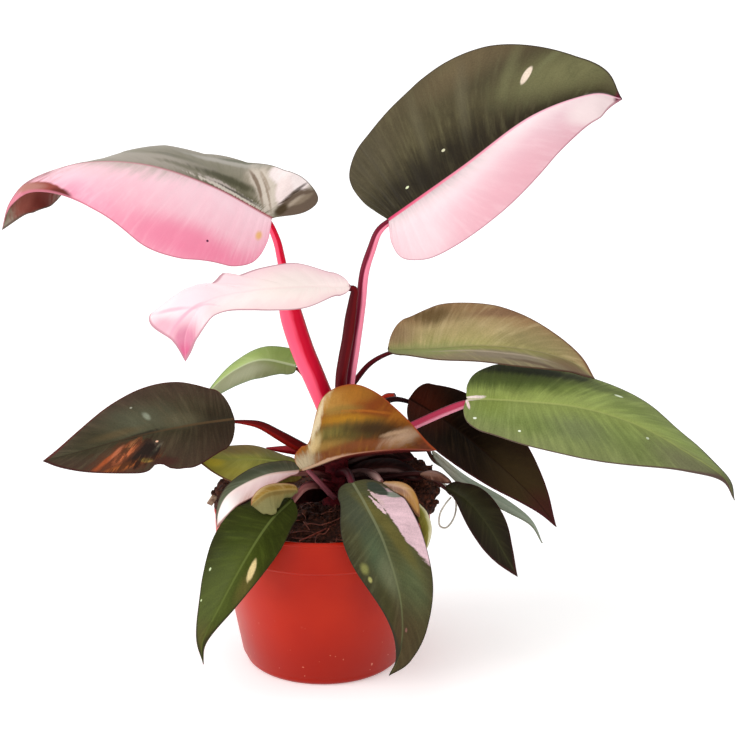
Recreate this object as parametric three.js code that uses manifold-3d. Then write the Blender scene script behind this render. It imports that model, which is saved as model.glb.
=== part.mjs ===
// Pink princess philodendron in a plastic nursery pot. Millimetres, +Z up.
// The origin is the centre of the pot's base; the front of the plant faces -Y.
import * as THREE from 'three';
import { mergeVertices } from 'three/addons/utils/BufferGeometryUtils.js';
import Module from 'manifold-3d';

const wasm = await Module();
wasm.setup();
const { Manifold, Mesh: SolidMesh } = wasm;

const GAP = 0.3; // air left between pieces that touch
const SEAT = { across: 0.55, along: 0.5 }; // air between a blade and its petiole's end

// ---- pot -----------------------------------------------------------------
const POT = {
  rimRadius: 60,
  rimHeight: 2,
  collarRadius: 59.4,
  collarBottom: 71,
  neckRadius: 57.6,
  baseRadius: 44.5,
  cornerRadius: 5,
  height: 90,
  wall: 1.2,
  floor: 2,
  drainRadius: 4,
  drainCircle: 27,
  drains: 6,
  facets: 56,
};

// ---- soil ----------------------------------------------------------------
const SOIL = {
  top: 85.5,
  heap: 5,
  relief: 1.3,
  rings: [53, 44, 34, 24, 15],
  facets: 36,
};
// Compost and roots heaped over the rim: x, y, z and size of the clods along each heap.
const CLOD_ROUGHNESS = 0.22;
const HEAPS = [
  {
    path: [[14, 17, 93, 9], [28, 16, 101, 10], [44, 9, 106, 10], [54, 1, 101, 9.5], [56, -12, 97, 7.5],
      [51, -28, 94, 6]],
    clods: 14,
  },
  { path: [[24, 4, 90, 8], [40, 0, 94, 9], [50, -14, 92, 8]], clods: 5 },
  { path: [[-47, -20, 91, 5], [-54, -8, 95, 6], [-54, 5, 96, 6], [-50, 18, 92, 5]], clods: 7 },
];

// ---- stem ----------------------------------------------------------------
const STEM = { x: 7, y: 0, bottom: 62, top: 126, radius: 7.6, facets: 14 };

// ---- leaves --------------------------------------------------------------
const BLADE = 0.9; // thickness of a blade
const KEEL = 0.9; // how much thicker the midrib is at the blade's base
const STATIONS = [0.1, 0.25, 0.42, 0.6, 0.78, 0.92]; // shares of the midrib where a margin bends

// rib: midrib from the petiole to the tip. face: way the upper side looks, base to tip.
// left, right: the two halves seen from above, looking to the tip.
//   wide: greatest width, at this share of the midrib. base: share of it near the base.
//   tip: below 1 blunt, above 1 drawn out. lobe: how far the half reaches back past the petiole.
//   outline: share and width by hand, for a half too crumpled for those four.
//   fold: angle of the half against the face, base to tip. curl: further turn at the margin.
// petiole: x, y, z and radius from the stem to the blade.
const LEAVES = {
  top_right: {
    rib: [[36, 0, 250], [74, -6, 279], [109, -4, 305], [141, 2, 316], [158, 6, 313]],
    face: [[-0.35, -0.75, 0.55], [-0.2, -0.8, 0.6], [-0.1, -0.7, 0.7]],
    left: { wide: 54, at: 0.42, base: 0.86, tip: 0.75, lobe: 12, fold: [10, 10, 5], curl: [0, -15] },
    right: { wide: 32, at: 0.25, base: 0.97, tip: 0.7, lobe: 9, fold: [-15, -15], curl: [-5, -10] },
    petiole: [[13, 4, 126.3, 2.9], [14, 0, 145, 2.9], [15, -1, 160, 2.9], [18, -1, 181, 2.9],
      [21, 0, 203, 2.8], [23, 1, 221, 2.6], [27, 2, 234, 2.4], [31, 1, 244, 2.1], [36, 0, 250, 1.9]],
    tint: '#4b4736',
  },
  top_left: {
    rib: [[-26, 0, 251], [-57, -4, 269], [-90, -8, 281], [-122, -12, 283], [-149, -14, 275],
      [-161, -15, 263], [-166, -16, 248]],
    face: [[0, 0, 1], [0, 0, 1], [-0.3, -0.1, 0.9], [-0.9, -0.3, 0.3]],
    left: { wide: 45, at: 0.3, base: 0.85, tip: 2, lobe: 6, fold: [-55, -55, -55, -30], curl: [-5, -10] },
    right: {
      wide: 46, at: 0.3, base: 0.78, tip: 0.8, lobe: 24,
      fold: [55, 30, 20, 15, 5, -10, -35, -80, -95], curl: [-10, -20, -20, -15, -20],
    },
    petiole: [[7, 2, 126.3, 4.2], [2.5, 1, 145, 5.6], [-3.5, 1, 161, 6], [-10.5, 2, 178, 6.3],
      [-16, 2, 196, 6.2], [-18, 2, 207, 5], [-19.5, 2, 217, 2.7], [-21.5, 2, 229, 2.3],
      [-24, 1, 240, 2.1], [-26, 0, 251, 1.9]],
    tint: '#f3a9bc',
  },
  middle_pink: {
    rib: [[15.5, -9, 216], [-11, -22, 219], [-36, -30, 219], [-59, -34, 214], [-69, -37, 199],
      [-70, -38, 183]],
    face: [[0, -0.8, 0.6], [-0.2, -0.8, 0.6], [-0.5, -0.8, 0.4], [-0.3, -0.9, 0.1]],
    left: {
      outline: [[0.1, 6], [0.25, 12], [0.42, 12], [0.6, 9], [0.78, 9], [0.92, 5]],
      lobe: 0, fold: [0, -5], curl: [-5, -5],
    },
    right: {
      outline: [[0.1, 9], [0.25, 14], [0.42, 12], [0.6, 8], [0.74, 10], [0.83, 24], [0.89, 7]],
      lobe: 0, fold: [-5, 5, 10], curl: [0, -5],
    },
    petiole: [[9, -6, 126.3, 2.9], [10, -8, 145, 3.2], [10.5, -8, 164, 3.2], [12, -8, 175, 3.2],
      [14, -8, 186, 3.2], [15.5, -8, 198, 3], [17, -8, 208, 2.4], [17.6, -8, 214, 2],
      [18, -8.5, 220, 1.4]],
    tint: '#f8dadd',
  },
  back_left: {
    rib: [[-16, 45, 156], [-35, 50, 158], [-50, 55, 151], [-63, 58, 140], [-72, 60, 128]],
    face: [[0, -0.3, 0.95], [0, -0.3, 0.95], [-0.4, -0.3, 0.9]],
    left: { wide: 11, at: 0.28, base: 0.64, tip: 0.7, lobe: 2, fold: [-35, -35], curl: [-5, -5] },
    right: { wide: 12, at: 0.1, base: 1, tip: 1.4, lobe: 5, fold: [15, 10, 0], curl: [-5, -5] },
    petiole: [[7, 2, 112, 1.9], [2, 11, 127, 1.8], [-4, 23, 144, 1.4], [-11, 38, 152, 1.2],
      [-16, 45, 156, 1]],
    tint: '#7f9a60',
  },
  left_dark: {
    rib: [[-47, -15, 144], [-71, -20, 142], [-102, -26, 137], [-127, -30, 131], [-148, -32, 126]],
    face: [[0, -0.64, 0.77], [0, -0.64, 0.77]],
    left: { wide: 27, at: 0.28, base: 0.74, tip: 0.8, lobe: 0, fold: [5, 5], curl: [-5, -5] },
    right: { wide: 29, at: 0.32, base: 0.72, tip: 1.1, lobe: 0, fold: [5, 5], curl: [-5, -5] },
    petiole: [[7, 0, 113, 3.2], [-6, -4, 121, 3.1], [-15, -8, 127.5, 3.1], [-23, -10, 133, 2.8],
      [-32, -12, 139, 2.3], [-39, -14, 141.5, 1.6], [-47, -15, 144, 0.9]],
    tint: '#40382b',
  },
  left_yellow: {
    rib: [[-14, -8, 116], [-33, -12, 120], [-52, -14, 121], [-71, -16, 124]],
    face: [[0, -0.4, 0.9], [0, -0.4, 0.9]],
    left: { wide: 19, at: 0.4, base: 0.78, tip: 1, lobe: 4, fold: [-5, -5], curl: [-5, -5] },
    right: { wide: 13.5, at: 0.5, base: 0.5, tip: 0.7, lobe: 1, fold: [-10, -5], curl: [-5, -5] },
    petiole: [[7, 0, 107, 2], [-4, -5, 113, 1.8], [-14, -8, 116, 1.5]],
    tint: '#7d8436',
  },
  left_half_moon: {
    rib: [[-12, -22, 117], [-28, -31, 118], [-42, -37, 114], [-50, -41, 109], [-54, -43, 101],
      [-55, -44, 93]],
    face: [[0, -0.4, 0.9], [0, -0.4, 0.9], [-0.6, -0.4, 0.6], [-0.9, -0.4, 0.2]],
    left: { wide: 9, at: 0.65, base: 0.33, tip: 0.7, lobe: 0, fold: [-20, -20], curl: [-5, -5] },
    right: { wide: 9, at: 0.15, base: 1, tip: 0.8, lobe: 2, fold: [5, 0], curl: [-5, -5] },
    petiole: [[7, -1, 104, 2], [-2, -13, 112, 1.8], [-12, -22, 117, 1.5]],
    tint: '#efc3c9',
  },
  front_left: {
    rib: [[-15, -50, 111], [-26, -64, 104], [-38, -71, 87], [-51, -74, 63], [-61, -75, 42],
      [-61.5, -75, 28]],
    face: [[-0.35, -0.8, 0.6], [-0.35, -0.9, 0.4], [-0.35, -0.9, 0.1]],
    left: { wide: 13, at: 0.25, base: 0.77, tip: 1.4, lobe: 0, fold: [-25, -20], curl: [-10, -5] },
    right: { wide: 27, at: 0.33, base: 0.84, tip: 1.35, lobe: 5, fold: [-15, -15], curl: [-5, -10] },
    petiole: [[7, -2, 100, 2.4], [-2, -22, 109, 2.3], [-9, -38, 113, 2.1], [-15, -50, 111, 1.6]],
    tint: '#47592c',
  },
  front_right: {
    rib: [[17, -46, 119], [24, -64, 113], [33, -74, 97], [41, -78, 71], [43, -79, 50], [41, -80, 35],
      [36, -80, 24]],
    face: [[0.2, -0.8, 0.6], [0.1, -1, 0.3], [0.1, -1, 0.1]],
    left: { wide: 23.5, at: 0.4, base: 1, tip: 0.7, lobe: 5, fold: [-15, -25], curl: [-10, -10] },
    right: { wide: 21, at: 0.35, base: 0.57, tip: 1.9, lobe: 4, fold: [-20, -20], curl: [-10, -10] },
    petiole: [[8, -2, 108, 2.6], [14, -25, 117, 2.3], [17, -46, 119, 1.9]],
    tint: '#4a5540',
  },
  right_small: {
    rib: [[67, -20, 107], [79, -26, 101], [90, -30, 88], [98, -32, 74], [106, -33, 60]],
    face: [[0.3, -0.8, 0.5], [0.4, -0.8, 0.4], [0.4, -0.8, 0.3]],
    left: { wide: 12.5, at: 0.35, base: 0.58, tip: 1.1, lobe: 0, fold: [-5, 0], curl: [-5, -5] },
    right: { wide: 10.5, at: 0.5, base: 0.3, tip: 0.95, lobe: 0, fold: [0, 0], curl: [-5, -5] },
    petiole: [[8, -1, 101, 1.9], [37, -12, 110, 1.6], [55, -17, 113, 1.4], [67, -20, 107, 1.1]],
    tint: '#26291c',
  },
  right_dark: {
    rib: [[48, 18, 145], [71, 21, 129], [99, 20, 105], [119, 16, 86], [131, 12, 71]],
    face: [[0.3, -0.7, 0.6], [0.3, -0.7, 0.6]],
    left: { wide: 26, at: 0.45, base: 0.62, tip: 1.2, lobe: 0, fold: [0, 0], curl: [-5, -5] },
    right: { wide: 24, at: 0.25, base: 0.96, tip: 1.2, lobe: 1, fold: [15, 15, 5], curl: [10, 0, -5] },
    petiole: [[9, 0, 112, 2], [19, 6, 126, 1.9], [28, 12, 140, 1.8], [38, 16, 145, 1.6],
      [48, 18, 145, 1.4]],
    tint: '#2c2420',
  },
  right_green: {
    rib: [[78, -15, 155.5], [103, -20, 156], [138, -26, 154], [169, -30, 145], [198, -34, 129],
      [214, -36, 118], [220, -38, 106]],
    face: [[0, -0.4, 0.9], [0.05, -0.42, 0.9], [0.3, -0.45, 0.85]],
    left: { wide: 34, at: 0.25, base: 0.97, tip: 0.9, lobe: 4, fold: [-5, -10, -15], curl: [0, -5] },
    right: { wide: 31, at: 0.4, base: 0.77, tip: 1.7, lobe: 3, fold: [-5, -15, -15], curl: [-5, -5] },
    petiole: [[8, 0, 116, 2.6], [34, -6, 129, 2.5], [49, -9, 138, 2.4], [72, -13, 150, 2.4],
      [78, -15, 155, 2.2]],
    tint: '#6f8a48',
  },
  right_olive: {
    rib: [[36, 10, 176], [59, 8, 177], [86, 6, 179], [113, 4, 177], [135, 2, 171], [148, 0, 162]],
    face: [[0, -0.45, 0.9], [0, -0.4, 0.9], [0.2, -0.4, 0.9]],
    left: { wide: 29, at: 0.3, base: 0.72, tip: 1, lobe: 0, fold: [15, 20, 10], curl: [-5, -5] },
    right: { wide: 18, at: 0.55, base: 0.45, tip: 0.75, lobe: 1, fold: [15, 10, 5], curl: [0, -5] },
    petiole: [[8, 2, 113, 1.9], [13, 10, 128, 1.8], [14, 9, 150, 1.7], [19, 10, 159, 1.6],
      [27, 11, 168, 1.4], [36, 10, 176, 1.3]],
    tint: '#80713f',
  },
  centre_orange: {
    rib: [[-10, -38, 123], [13, -43, 133], [39, -45, 137], [61, -43, 136]],
    face: [[0, -0.75, 0.6], [0, -0.75, 0.6]],
    left: { wide: 39.5, at: 0.36, base: 0.38, tip: 1.2, lobe: 5, fold: [-10, 5, 5], curl: [0, -5] },
    right: { wide: 9, at: 0.45, base: 0.36, tip: 0.7, lobe: 2, fold: [-95, -95], curl: [-5, -5] },
    petiole: [[7, -2, 96, 1.9], [6, -21, 102, 1.7], [-1, -31.5, 114, 1.5], [-9, -34.8, 120.8, 1.3]],
    tint: '#8f6a2c',
  },
  back_right: {
    rib: [[62, 26, 109], [82, 34, 89], [105, 38, 74], [119, 40, 63], [126, 40, 50]],
    face: [[0.5, -0.05, 0.75], [0.5, -0.05, 0.75]],
    left: { wide: 9, at: 0.35, base: 0.78, tip: 0.9, lobe: 2, fold: [5, 5], curl: [-5, -5] },
    right: { wide: 9, at: 0.35, base: 0.78, tip: 0.9, lobe: 2, fold: [-5, -5], curl: [-5, -5] },
    petiole: [[8, 1, 106, 1.9], [22, 12, 119, 1.8], [40, 22, 124, 1.6], [55, 25, 118, 1.4],
      [62, 26, 109, 1.2]],
    tint: '#8f9c86',
  },
};

// ---- dried scale leaves: the same surface, small and without a petiole -----
const CASE = { wide: 4, at: 0.4, base: 0.5, tip: 0.6, lobe: 0, fold: [-20, -20], curl: [-5, -5] };
const SCALES = {
  bract_pale: {
    rib: [[-12, -46, 115.4], [-19, -51, 117], [-28, -55, 116.5], [-36, -58, 111]],
    face: [[0, -0.7, 0.7], [-0.2, -0.8, 0.5]],
    left: { wide: 12, at: 0.75, base: 0.25, tip: 0.3, lobe: 0, fold: [0, 0], curl: [-5, -5] },
    right: { wide: 5, at: 0.7, base: 0.6, tip: 0.5, lobe: 0, fold: [0, -15, -30], curl: [-5, -10] },
    tint: '#c9c08a',
  },
  sheath_tan: {
    rib: [[32.6, -34.4, 114.8], [44, -43, 114.5], [49, -48, 110], [52, -50, 101]],
    face: [[0.3, -0.8, 0.6], [0.5, -0.8, 0.3]],
    left: CASE,
    right: CASE,
    tint: '#c79a72',
  },
  sheath_olive: {
    rib: [[51, -30.5, 102], [55, -35, 96.5], [57, -39, 89], [56, -41, 79]],
    face: [[0.6, -0.8, 0.3], [0.6, -0.8, 0.3]],
    left: CASE,
    right: CASE,
    tint: '#8b8a3c',
  },
  sheath_brown: {
    rib: [[53, -19.5, 114.5], [61, -22, 115], [70, -24, 111]],
    face: [[0, -0.5, 0.9], [0, -0.5, 0.9]],
    left: CASE,
    right: CASE,
    tint: '#7a4d3a',
  },
};

// ---- small round pieces: x, y, z and radius along each ---------------------
const SHOOTS = {
  bud_pale: {
    path: [[8, 0, 106, 1.3], [21, -9, 112, 1.6], [28, -26, 116, 2.2], [32, -33.5, 115, 1.4]],
    tint: '#e7b9b3',
  },
  stub_red: {
    path: [[9, 3, 108, 1.8], [22, 20, 124, 1.8], [33, 24, 142, 2], [40, 22, 145.5, 1.6]],
    tint: '#b03a24',
  },
  tip_red: {
    path: [[5, 1, 117, 2.4], [-8, 4, 119, 3.2], [-20, 4, 120, 2.2], [-31, 3, 121, 0.6]],
    tint: '#7a1b1c',
  },
  fibre_loop: {
    path: [[64.5, -17.2, 108.3, 0.5], [71, -13.5, 103, 0.5], [73, -15, 96, 0.5], [72, -18, 89, 0.5],
      [68, -21, 84, 0.5], [64, -21, 85, 0.5], [64, -22, 92, 0.5], [67, -22, 98, 0.5],
      [70, -20, 101, 0.5]],
    tint: '#d9d3c4',
  },
};

// ---- numbers and curves ----------------------------------------------------
const SWEEP = 1.25; // how much the side veins lean towards the tip
const BOW = 1.15; // how much they bow
const WAVE = { height: 0.018, count: 2, offset: 0.37 }; // height as a share of the half's width

const clampShare = (value) => THREE.MathUtils.clamp(value, 0, 1);
const radians = THREE.MathUtils.degToRad;
const vector = (p) => new THREE.Vector3(p[0], p[1], p[2]);

function curveThrough(points) {
  const curve = new THREE.CatmullRomCurve3(points, false, 'catmullrom', 0.5);
  curve.arcLengthDivisions = 400;
  return curve;
}

// Value at a share of the way through a short list.
function between(values, share) {
  const place = clampShare(share) * (values.length - 1);
  const i = Math.min(Math.floor(place), values.length - 2);
  return values[i] + (values[i + 1] - values[i]) * (place - i);
}

// Repeatable scatter, -1 to 1.
function scatter(a, b) {
  const s = Math.sin(a * 127.1 + b * 311.7) * 43758.5453;
  return 2 * (s - Math.floor(s)) - 1;
}

// ---- solids ------------------------------------------------------------------
function meshOf(points, triangles) {
  const geometry = new THREE.BufferGeometry();
  const flat = points.flatMap((p) => [p.x, p.y, p.z]);
  geometry.setAttribute('position', new THREE.Float32BufferAttribute(flat, 3));
  geometry.setIndex(triangles);
  geometry.computeVertexNormals();
  return geometry;
}

function toSolid(geometry) {
  const mesh = new SolidMesh({
    numProp: 3,
    vertProperties: new Float32Array(geometry.attributes.position.array),
    triVerts: new Uint32Array(geometry.index.array),
  });
  mesh.merge();
  return new Manifold(mesh);
}

function toGeometry(solid) {
  const mesh = solid.getMesh();
  const points = [];
  for (let i = 0; i < mesh.numVert; i += 1) {
    points.push(vector(mesh.vertProperties.subarray(i * mesh.numProp, i * mesh.numProp + 3)));
  }
  return meshOf(points, Array.from(mesh.triVerts));
}

function largestBody(solid) {
  const bodies = solid.decompose();
  return bodies.reduce((best, body) => (body.volume() > best.volume() ? body : best));
}

// Closed round body along x, y, z, radius points.
function roundBody(path, facets, grow = 0) {
  const curve = curveThrough(path.map(vector));
  const steps = Math.max(5, Math.round(curve.getLength() / 14), path.length);
  const frames = curve.computeFrenetFrames(steps, false);
  const radii = path.map((p) => p[3] + grow);
  const points = [];
  const triangles = [];
  for (let i = 0; i <= steps; i += 1) {
    const centre = curve.getPointAt(i / steps);
    const radius = between(radii, curve.getUtoTmapping(i / steps));
    for (let k = 0; k < facets; k += 1) {
      const angle = (2 * Math.PI * k) / facets;
      const spoke = frames.normals[i].clone().multiplyScalar(Math.cos(angle) * radius);
      spoke.addScaledVector(frames.binormals[i], Math.sin(angle) * radius);
      points.push(spoke.add(centre));
    }
  }
  ringWalls(triangles, steps + 1, facets);
  closeEnd(points, triangles, 0, facets, curve.getPointAt(0), true);
  closeEnd(points, triangles, steps * facets, facets, curve.getPointAt(1), false);
  return meshOf(points, triangles);
}

// Walls between rings of points that follow one another.
function ringWalls(triangles, rings, facets) {
  for (let i = 0; i + 1 < rings; i += 1) {
    for (let k = 0; k < facets; k += 1) {
      const a = i * facets + k;
      const b = i * facets + ((k + 1) % facets);
      triangles.push(a, b, b + facets, a, b + facets, a + facets);
    }
  }
}

function closeEnd(points, triangles, first, facets, centre, flip) {
  const middle = points.push(centre) - 1;
  for (let k = 0; k < facets; k += 1) {
    const a = first + k;
    const b = first + ((k + 1) % facets);
    triangles.push(middle, flip ? b : a, flip ? a : b);
  }
}

// ---- leaf surface --------------------------------------------------------------
function midrib(leaf) {
  const path = curveThrough(leaf.rib.map(vector));
  const looks = curveThrough(leaf.face.map((p) => vector(p).normalize()));
  const length = path.getLength();
  const at = (along) => {
    const share = clampShare(along / length);
    const t = path.getUtoTmapping(share);
    const ahead = path.getTangent(t);
    const up = looks.getPoint(t);
    up.addScaledVector(ahead, -up.dot(ahead)).normalize();
    const point = path.getPoint(t).addScaledVector(ahead, along - share * length);
    return { point, ahead, up, right: new THREE.Vector3().crossVectors(ahead, up) };
  };
  return { length, at };
}

// Half-width at a share of the midrib: rounded from the base to the widest place, then narrowing
// as a cosine, which the tip value makes blunter (below 1) or more drawn out (above 1).
function halfWidth(half, share) {
  if (share < half.at) {
    const back = (half.at - share) / (half.at - STATIONS[0]);
    return half.wide * (1 - (1 - half.base) * back ** 2);
  }
  const on = (share - half.at) / (1 - half.at);
  return half.wide * Math.cos((Math.PI / 2) * on) ** half.tip;
}

// Margin of one half laid flat: x along the midrib, y away from it.
function marginOf(length, half) {
  const outline = half.outline ?? STATIONS.map((share) => [share, halfWidth(half, share)]);
  const first = outline[0][1];
  const reach = outline[0][0] * length;
  const base = [
    [0, 0],
    [0.08 * reach - 0.7 * half.lobe, 0.35 * first],
    [0.3 * reach - half.lobe, 0.68 * first],
    [0.62 * reach - 0.6 * half.lobe, 0.9 * first],
  ];
  const rest = outline.map(([share, width]) => [share * length, width]);
  return curveThrough([...base, ...rest, [length, 0]].map(([x, y]) => new THREE.Vector3(x, y, 0)));
}

function widestOf(half) {
  return half.wide ?? Math.max(...half.outline.map(([, width]) => width));
}

// Points of one row, from the midrib along a side vein to the margin.
function veinRow(rib, half, side, edge, t, columns) {
  const widest = widestOf(half);
  const start = rib.length * t ** SWEEP;
  const row = [];
  for (let c = 0; c <= columns; c += 1) {
    const v = c / columns;
    const along = start + (edge.x - start) * v ** BOW;
    const across = Math.max(edge.y, 0) * v;
    const share = clampShare(along / rib.length);
    const fold = radians(between(half.fold, share));
    const turn = radians(between(half.curl, share) + 0.01) / widest;
    const out = (Math.sin(fold + turn * across) - Math.sin(fold)) / turn;
    const rise = (Math.cos(fold) - Math.cos(fold + turn * across)) / turn;
    const phase = WAVE.count * share + (side > 0 ? WAVE.offset : 0);
    const wave = WAVE.height * widest * Math.sin(2 * Math.PI * phase) * (across / widest) ** 2;
    const frame = rib.at(along);
    frame.point.addScaledVector(frame.right, side * out);
    row.push(frame.point.addScaledVector(frame.up, rise + wave));
  }
  return row;
}

function leafGrid(leaf, rows, columns) {
  const rib = midrib(leaf);
  const edges = [marginOf(rib.length, leaf.left), marginOf(rib.length, leaf.right)];
  const grid = [];
  for (let i = 0; i < rows; i += 1) {
    const t = i / (rows - 1);
    const left = veinRow(rib, leaf.left, -1, edges[0].getPoint(t), t, columns);
    const right = veinRow(rib, leaf.right, 1, edges[1].getPoint(t), t, columns);
    grid.push([...left.reverse(), ...right.slice(1)]);
  }
  return { rib, grid };
}

function gridNormal(grid, i, j) {
  const last = grid[0].length - 1;
  const along = grid[i + 1][j].clone().sub(grid[i - 1][j]);
  const across = grid[i][Math.min(j + 1, last)].clone().sub(grid[i][Math.max(j - 1, 0)]);
  return across.cross(along).normalize();
}

// Closed blade: upper and lower sheet split alike, joined round the margin.
function bladeBody(leaf, rows, columns, grow = 0) {
  const { rib, grid } = leafGrid(leaf, rows, columns);
  const width = 2 * columns + 1;
  const upper = [];
  const lower = [];
  const put = (point, normal, keel) => {
    upper.push(point.clone().addScaledVector(normal, BLADE / 2 + grow));
    lower.push(point.clone().addScaledVector(normal, -BLADE / 2 - grow - keel));
  };
  put(grid[0][columns], rib.at(0).up, KEEL);
  for (let i = 1; i < rows - 1; i += 1) {
    for (let j = 0; j < width; j += 1) {
      put(grid[i][j], gridNormal(grid, i, j), j === columns ? KEEL * (1 - i / rows) : 0);
    }
  }
  put(grid[rows - 1][columns], rib.at(rib.length).up, 0);
  return meshOf([...upper, ...lower], bladeTriangles(rows, width, upper.length));
}

function bladeTriangles(rows, width, count) {
  const triangles = [];
  const tip = count - 1;
  const index = (i, j) => 1 + (i - 1) * width + j;
  const sheet = (a, b, c) => triangles.push(a, b, c, a + count, c + count, b + count);
  const wall = (a, b) => triangles.push(a + count, b + count, b, a + count, b, a);
  for (let j = 0; j < width - 1; j += 1) {
    sheet(0, index(1, j + 1), index(1, j));
    sheet(tip, index(rows - 2, j), index(rows - 2, j + 1));
    for (let i = 1; i < rows - 2; i += 1) {
      sheet(index(i, j), index(i, j + 1), index(i + 1, j + 1));
      sheet(index(i, j), index(i + 1, j + 1), index(i + 1, j));
    }
  }
  const right = [0];
  const left = [tip];
  for (let i = 1; i < rows - 1; i += 1) {
    right.push(index(i, width - 1));
    left.push(index(rows - 1 - i, 0));
  }
  const round = [...right, ...left, 0];
  for (let k = 0; k + 1 < round.length; k += 1) {
    wall(round[k], round[k + 1]);
  }
  return triangles;
}

// ---- pot, soil and stem ----------------------------------------------------------
function potOuterRadius(z) {
  return POT.baseRadius + ((POT.neckRadius - POT.baseRadius) * z) / POT.collarBottom;
}

function potInnerRadius(z) {
  const collar = z > POT.collarBottom ? POT.collarRadius : potOuterRadius(z);
  return collar - POT.wall;
}

function potProfile() {
  const corner = POT.cornerRadius;
  const foot = POT.baseRadius - 0.8 * corner;
  const top = POT.height;
  const rimBottom = top - POT.rimHeight;
  const collar = POT.collarRadius;
  return [
    [0, 0], [foot, 0], [foot + 0.45 * corner, 0.2 * corner], [foot + 0.8 * corner, 0.6 * corner],
    [potOuterRadius(1.3 * corner), 1.3 * corner], [POT.neckRadius, POT.collarBottom],
    [collar, POT.collarBottom + 1.4], [collar + 0.1, rimBottom - 0.4], [POT.rimRadius, rimBottom],
    [POT.rimRadius, top - 0.4], [POT.rimRadius - 0.4, top], [collar - POT.wall + 0.4, top],
    [collar - POT.wall, top - 0.6], [collar - POT.wall, POT.collarBottom + 1],
    [potInnerRadius(POT.collarBottom), POT.collarBottom - 0.6], [potInnerRadius(7), 7],
    [foot, POT.floor], [0, POT.floor],
  ];
}

function makePot() {
  const profile = potProfile().map(([r, z]) => new THREE.Vector2(r, z));
  const turned = new THREE.LatheGeometry(profile, POT.facets);
  turned.rotateX(Math.PI / 2);
  let pot = toSolid(closedLathe(turned));
  for (let k = 0; k < POT.drains; k += 1) {
    const angle = (2 * Math.PI * (k + 0.5)) / POT.drains;
    const x = POT.drainCircle * Math.cos(angle);
    const y = POT.drainCircle * Math.sin(angle);
    const hole = roundBody([[x, y, -2, POT.drainRadius], [x, y, POT.floor + 2, POT.drainRadius]], 12);
    pot = pot.subtract(toSolid(hole));
  }
  return toGeometry(pot);
}

// Lathe seam and axis points joined, so that the body is closed.
function closedLathe(turned) {
  const position = turned.attributes.position;
  const points = [];
  const places = new Map();
  const to = [];
  for (let i = 0; i < position.count; i += 1) {
    const p = new THREE.Vector3().fromBufferAttribute(position, i);
    const key = [p.x, p.y, p.z].map((n) => Math.round(n * 1000)).join();
    if (!places.has(key)) {
      places.set(key, points.push(p) - 1);
    }
    to.push(places.get(key));
  }
  const triangles = [];
  for (let i = 0; i < turned.index.count; i += 3) {
    const [a, b, c] = [0, 1, 2].map((n) => to[turned.index.getX(i + n)]);
    if (a !== b && b !== c && c !== a) {
      triangles.push(a, b, c);
    }
  }
  return meshOf(points, triangles);
}

function soilTop(radius, angle) {
  const out = radius / POT.collarRadius;
  const bumps = scatter(Math.round(radius), Math.round(angle * 10));
  return SOIL.top + SOIL.heap * (1 - out * out) + SOIL.relief * bumps;
}

// Soil inside the pot: rings from its foot up the wall and in over the top.
function soilCore() {
  const wall = [8, POT.collarBottom - 1, SOIL.top - 2].map((z) => [potInnerRadius(z) - 1.4 * GAP, z]);
  const foot = POT.baseRadius - 0.8 * POT.cornerRadius - GAP;
  const rings = [[foot, POT.floor + GAP], ...wall, ...SOIL.rings.map((radius) => [radius, null])];
  const points = [];
  const triangles = [];
  for (const [radius, z] of rings) {
    for (let k = 0; k < SOIL.facets; k += 1) {
      const angle = (2 * Math.PI * k) / SOIL.facets;
      const height = z ?? soilTop(radius, angle);
      points.push(new THREE.Vector3(radius * Math.cos(angle), radius * Math.sin(angle), height));
    }
  }
  ringWalls(triangles, rings.length, SOIL.facets);
  closeEnd(points, triangles, 0, SOIL.facets, new THREE.Vector3(0, 0, POT.floor + GAP), true);
  const top = new THREE.Vector3(0, 0, SOIL.top + SOIL.heap);
  closeEnd(points, triangles, (rings.length - 1) * SOIL.facets, SOIL.facets, top, false);
  return toSolid(meshOf(points, triangles));
}

// Clod of compost: an octahedron split once, with its corners scattered in and out.
function clod(centre, size, seed) {
  const shape = new THREE.OctahedronGeometry(1, 1);
  shape.deleteAttribute('normal');
  shape.deleteAttribute('uv');
  const merged = mergeVertices(shape, 1e-4);
  const position = merged.attributes.position;
  const points = [];
  for (let i = 0; i < position.count; i += 1) {
    const p = new THREE.Vector3().fromBufferAttribute(position, i);
    points.push(p.multiplyScalar(size * (1 + CLOD_ROUGHNESS * scatter(seed, i))).add(centre));
  }
  return toSolid(meshOf(points, Array.from(merged.index.array)));
}

// A heap's clods along its path, each sunk into the next.
function heapOf(heap, seed) {
  const curve = curveThrough(heap.path.map(vector));
  const sizes = heap.path.map((p) => p[3]);
  let body = null;
  for (let k = 0; k < heap.clods; k += 1) {
    const share = k / (heap.clods - 1);
    const lump = clod(curve.getPoint(share), between(sizes, share), seed + k);
    body = body ? body.add(lump) : lump;
  }
  return body;
}

// Soil with its heaps over the rim, a little clear of the pot, and a hole for the stem.
function makeSoil() {
  let soil = soilCore();
  HEAPS.forEach((heap, i) => {
    soil = soil.add(heapOf(heap, 20 * i));
  });
  const keep = potInnerRadius(POT.height) - 1.4 * GAP;
  const rimTop = POT.height + GAP;
  const low = SOIL.top - 8;
  const wide = 1.5 * POT.rimRadius;
  const ring = [[keep, low], [wide, low], [wide, rimTop], [keep, rimTop], [keep, low]];
  const cut = new THREE.LatheGeometry(ring.map(([r, z]) => new THREE.Vector2(r, z)), POT.facets);
  cut.rotateX(Math.PI / 2);
  soil = soil.subtract(toSolid(closedLathe(cut))).subtract(toSolid(stemBody(GAP)));
  return toGeometry(largestBody(soil));
}

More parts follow.
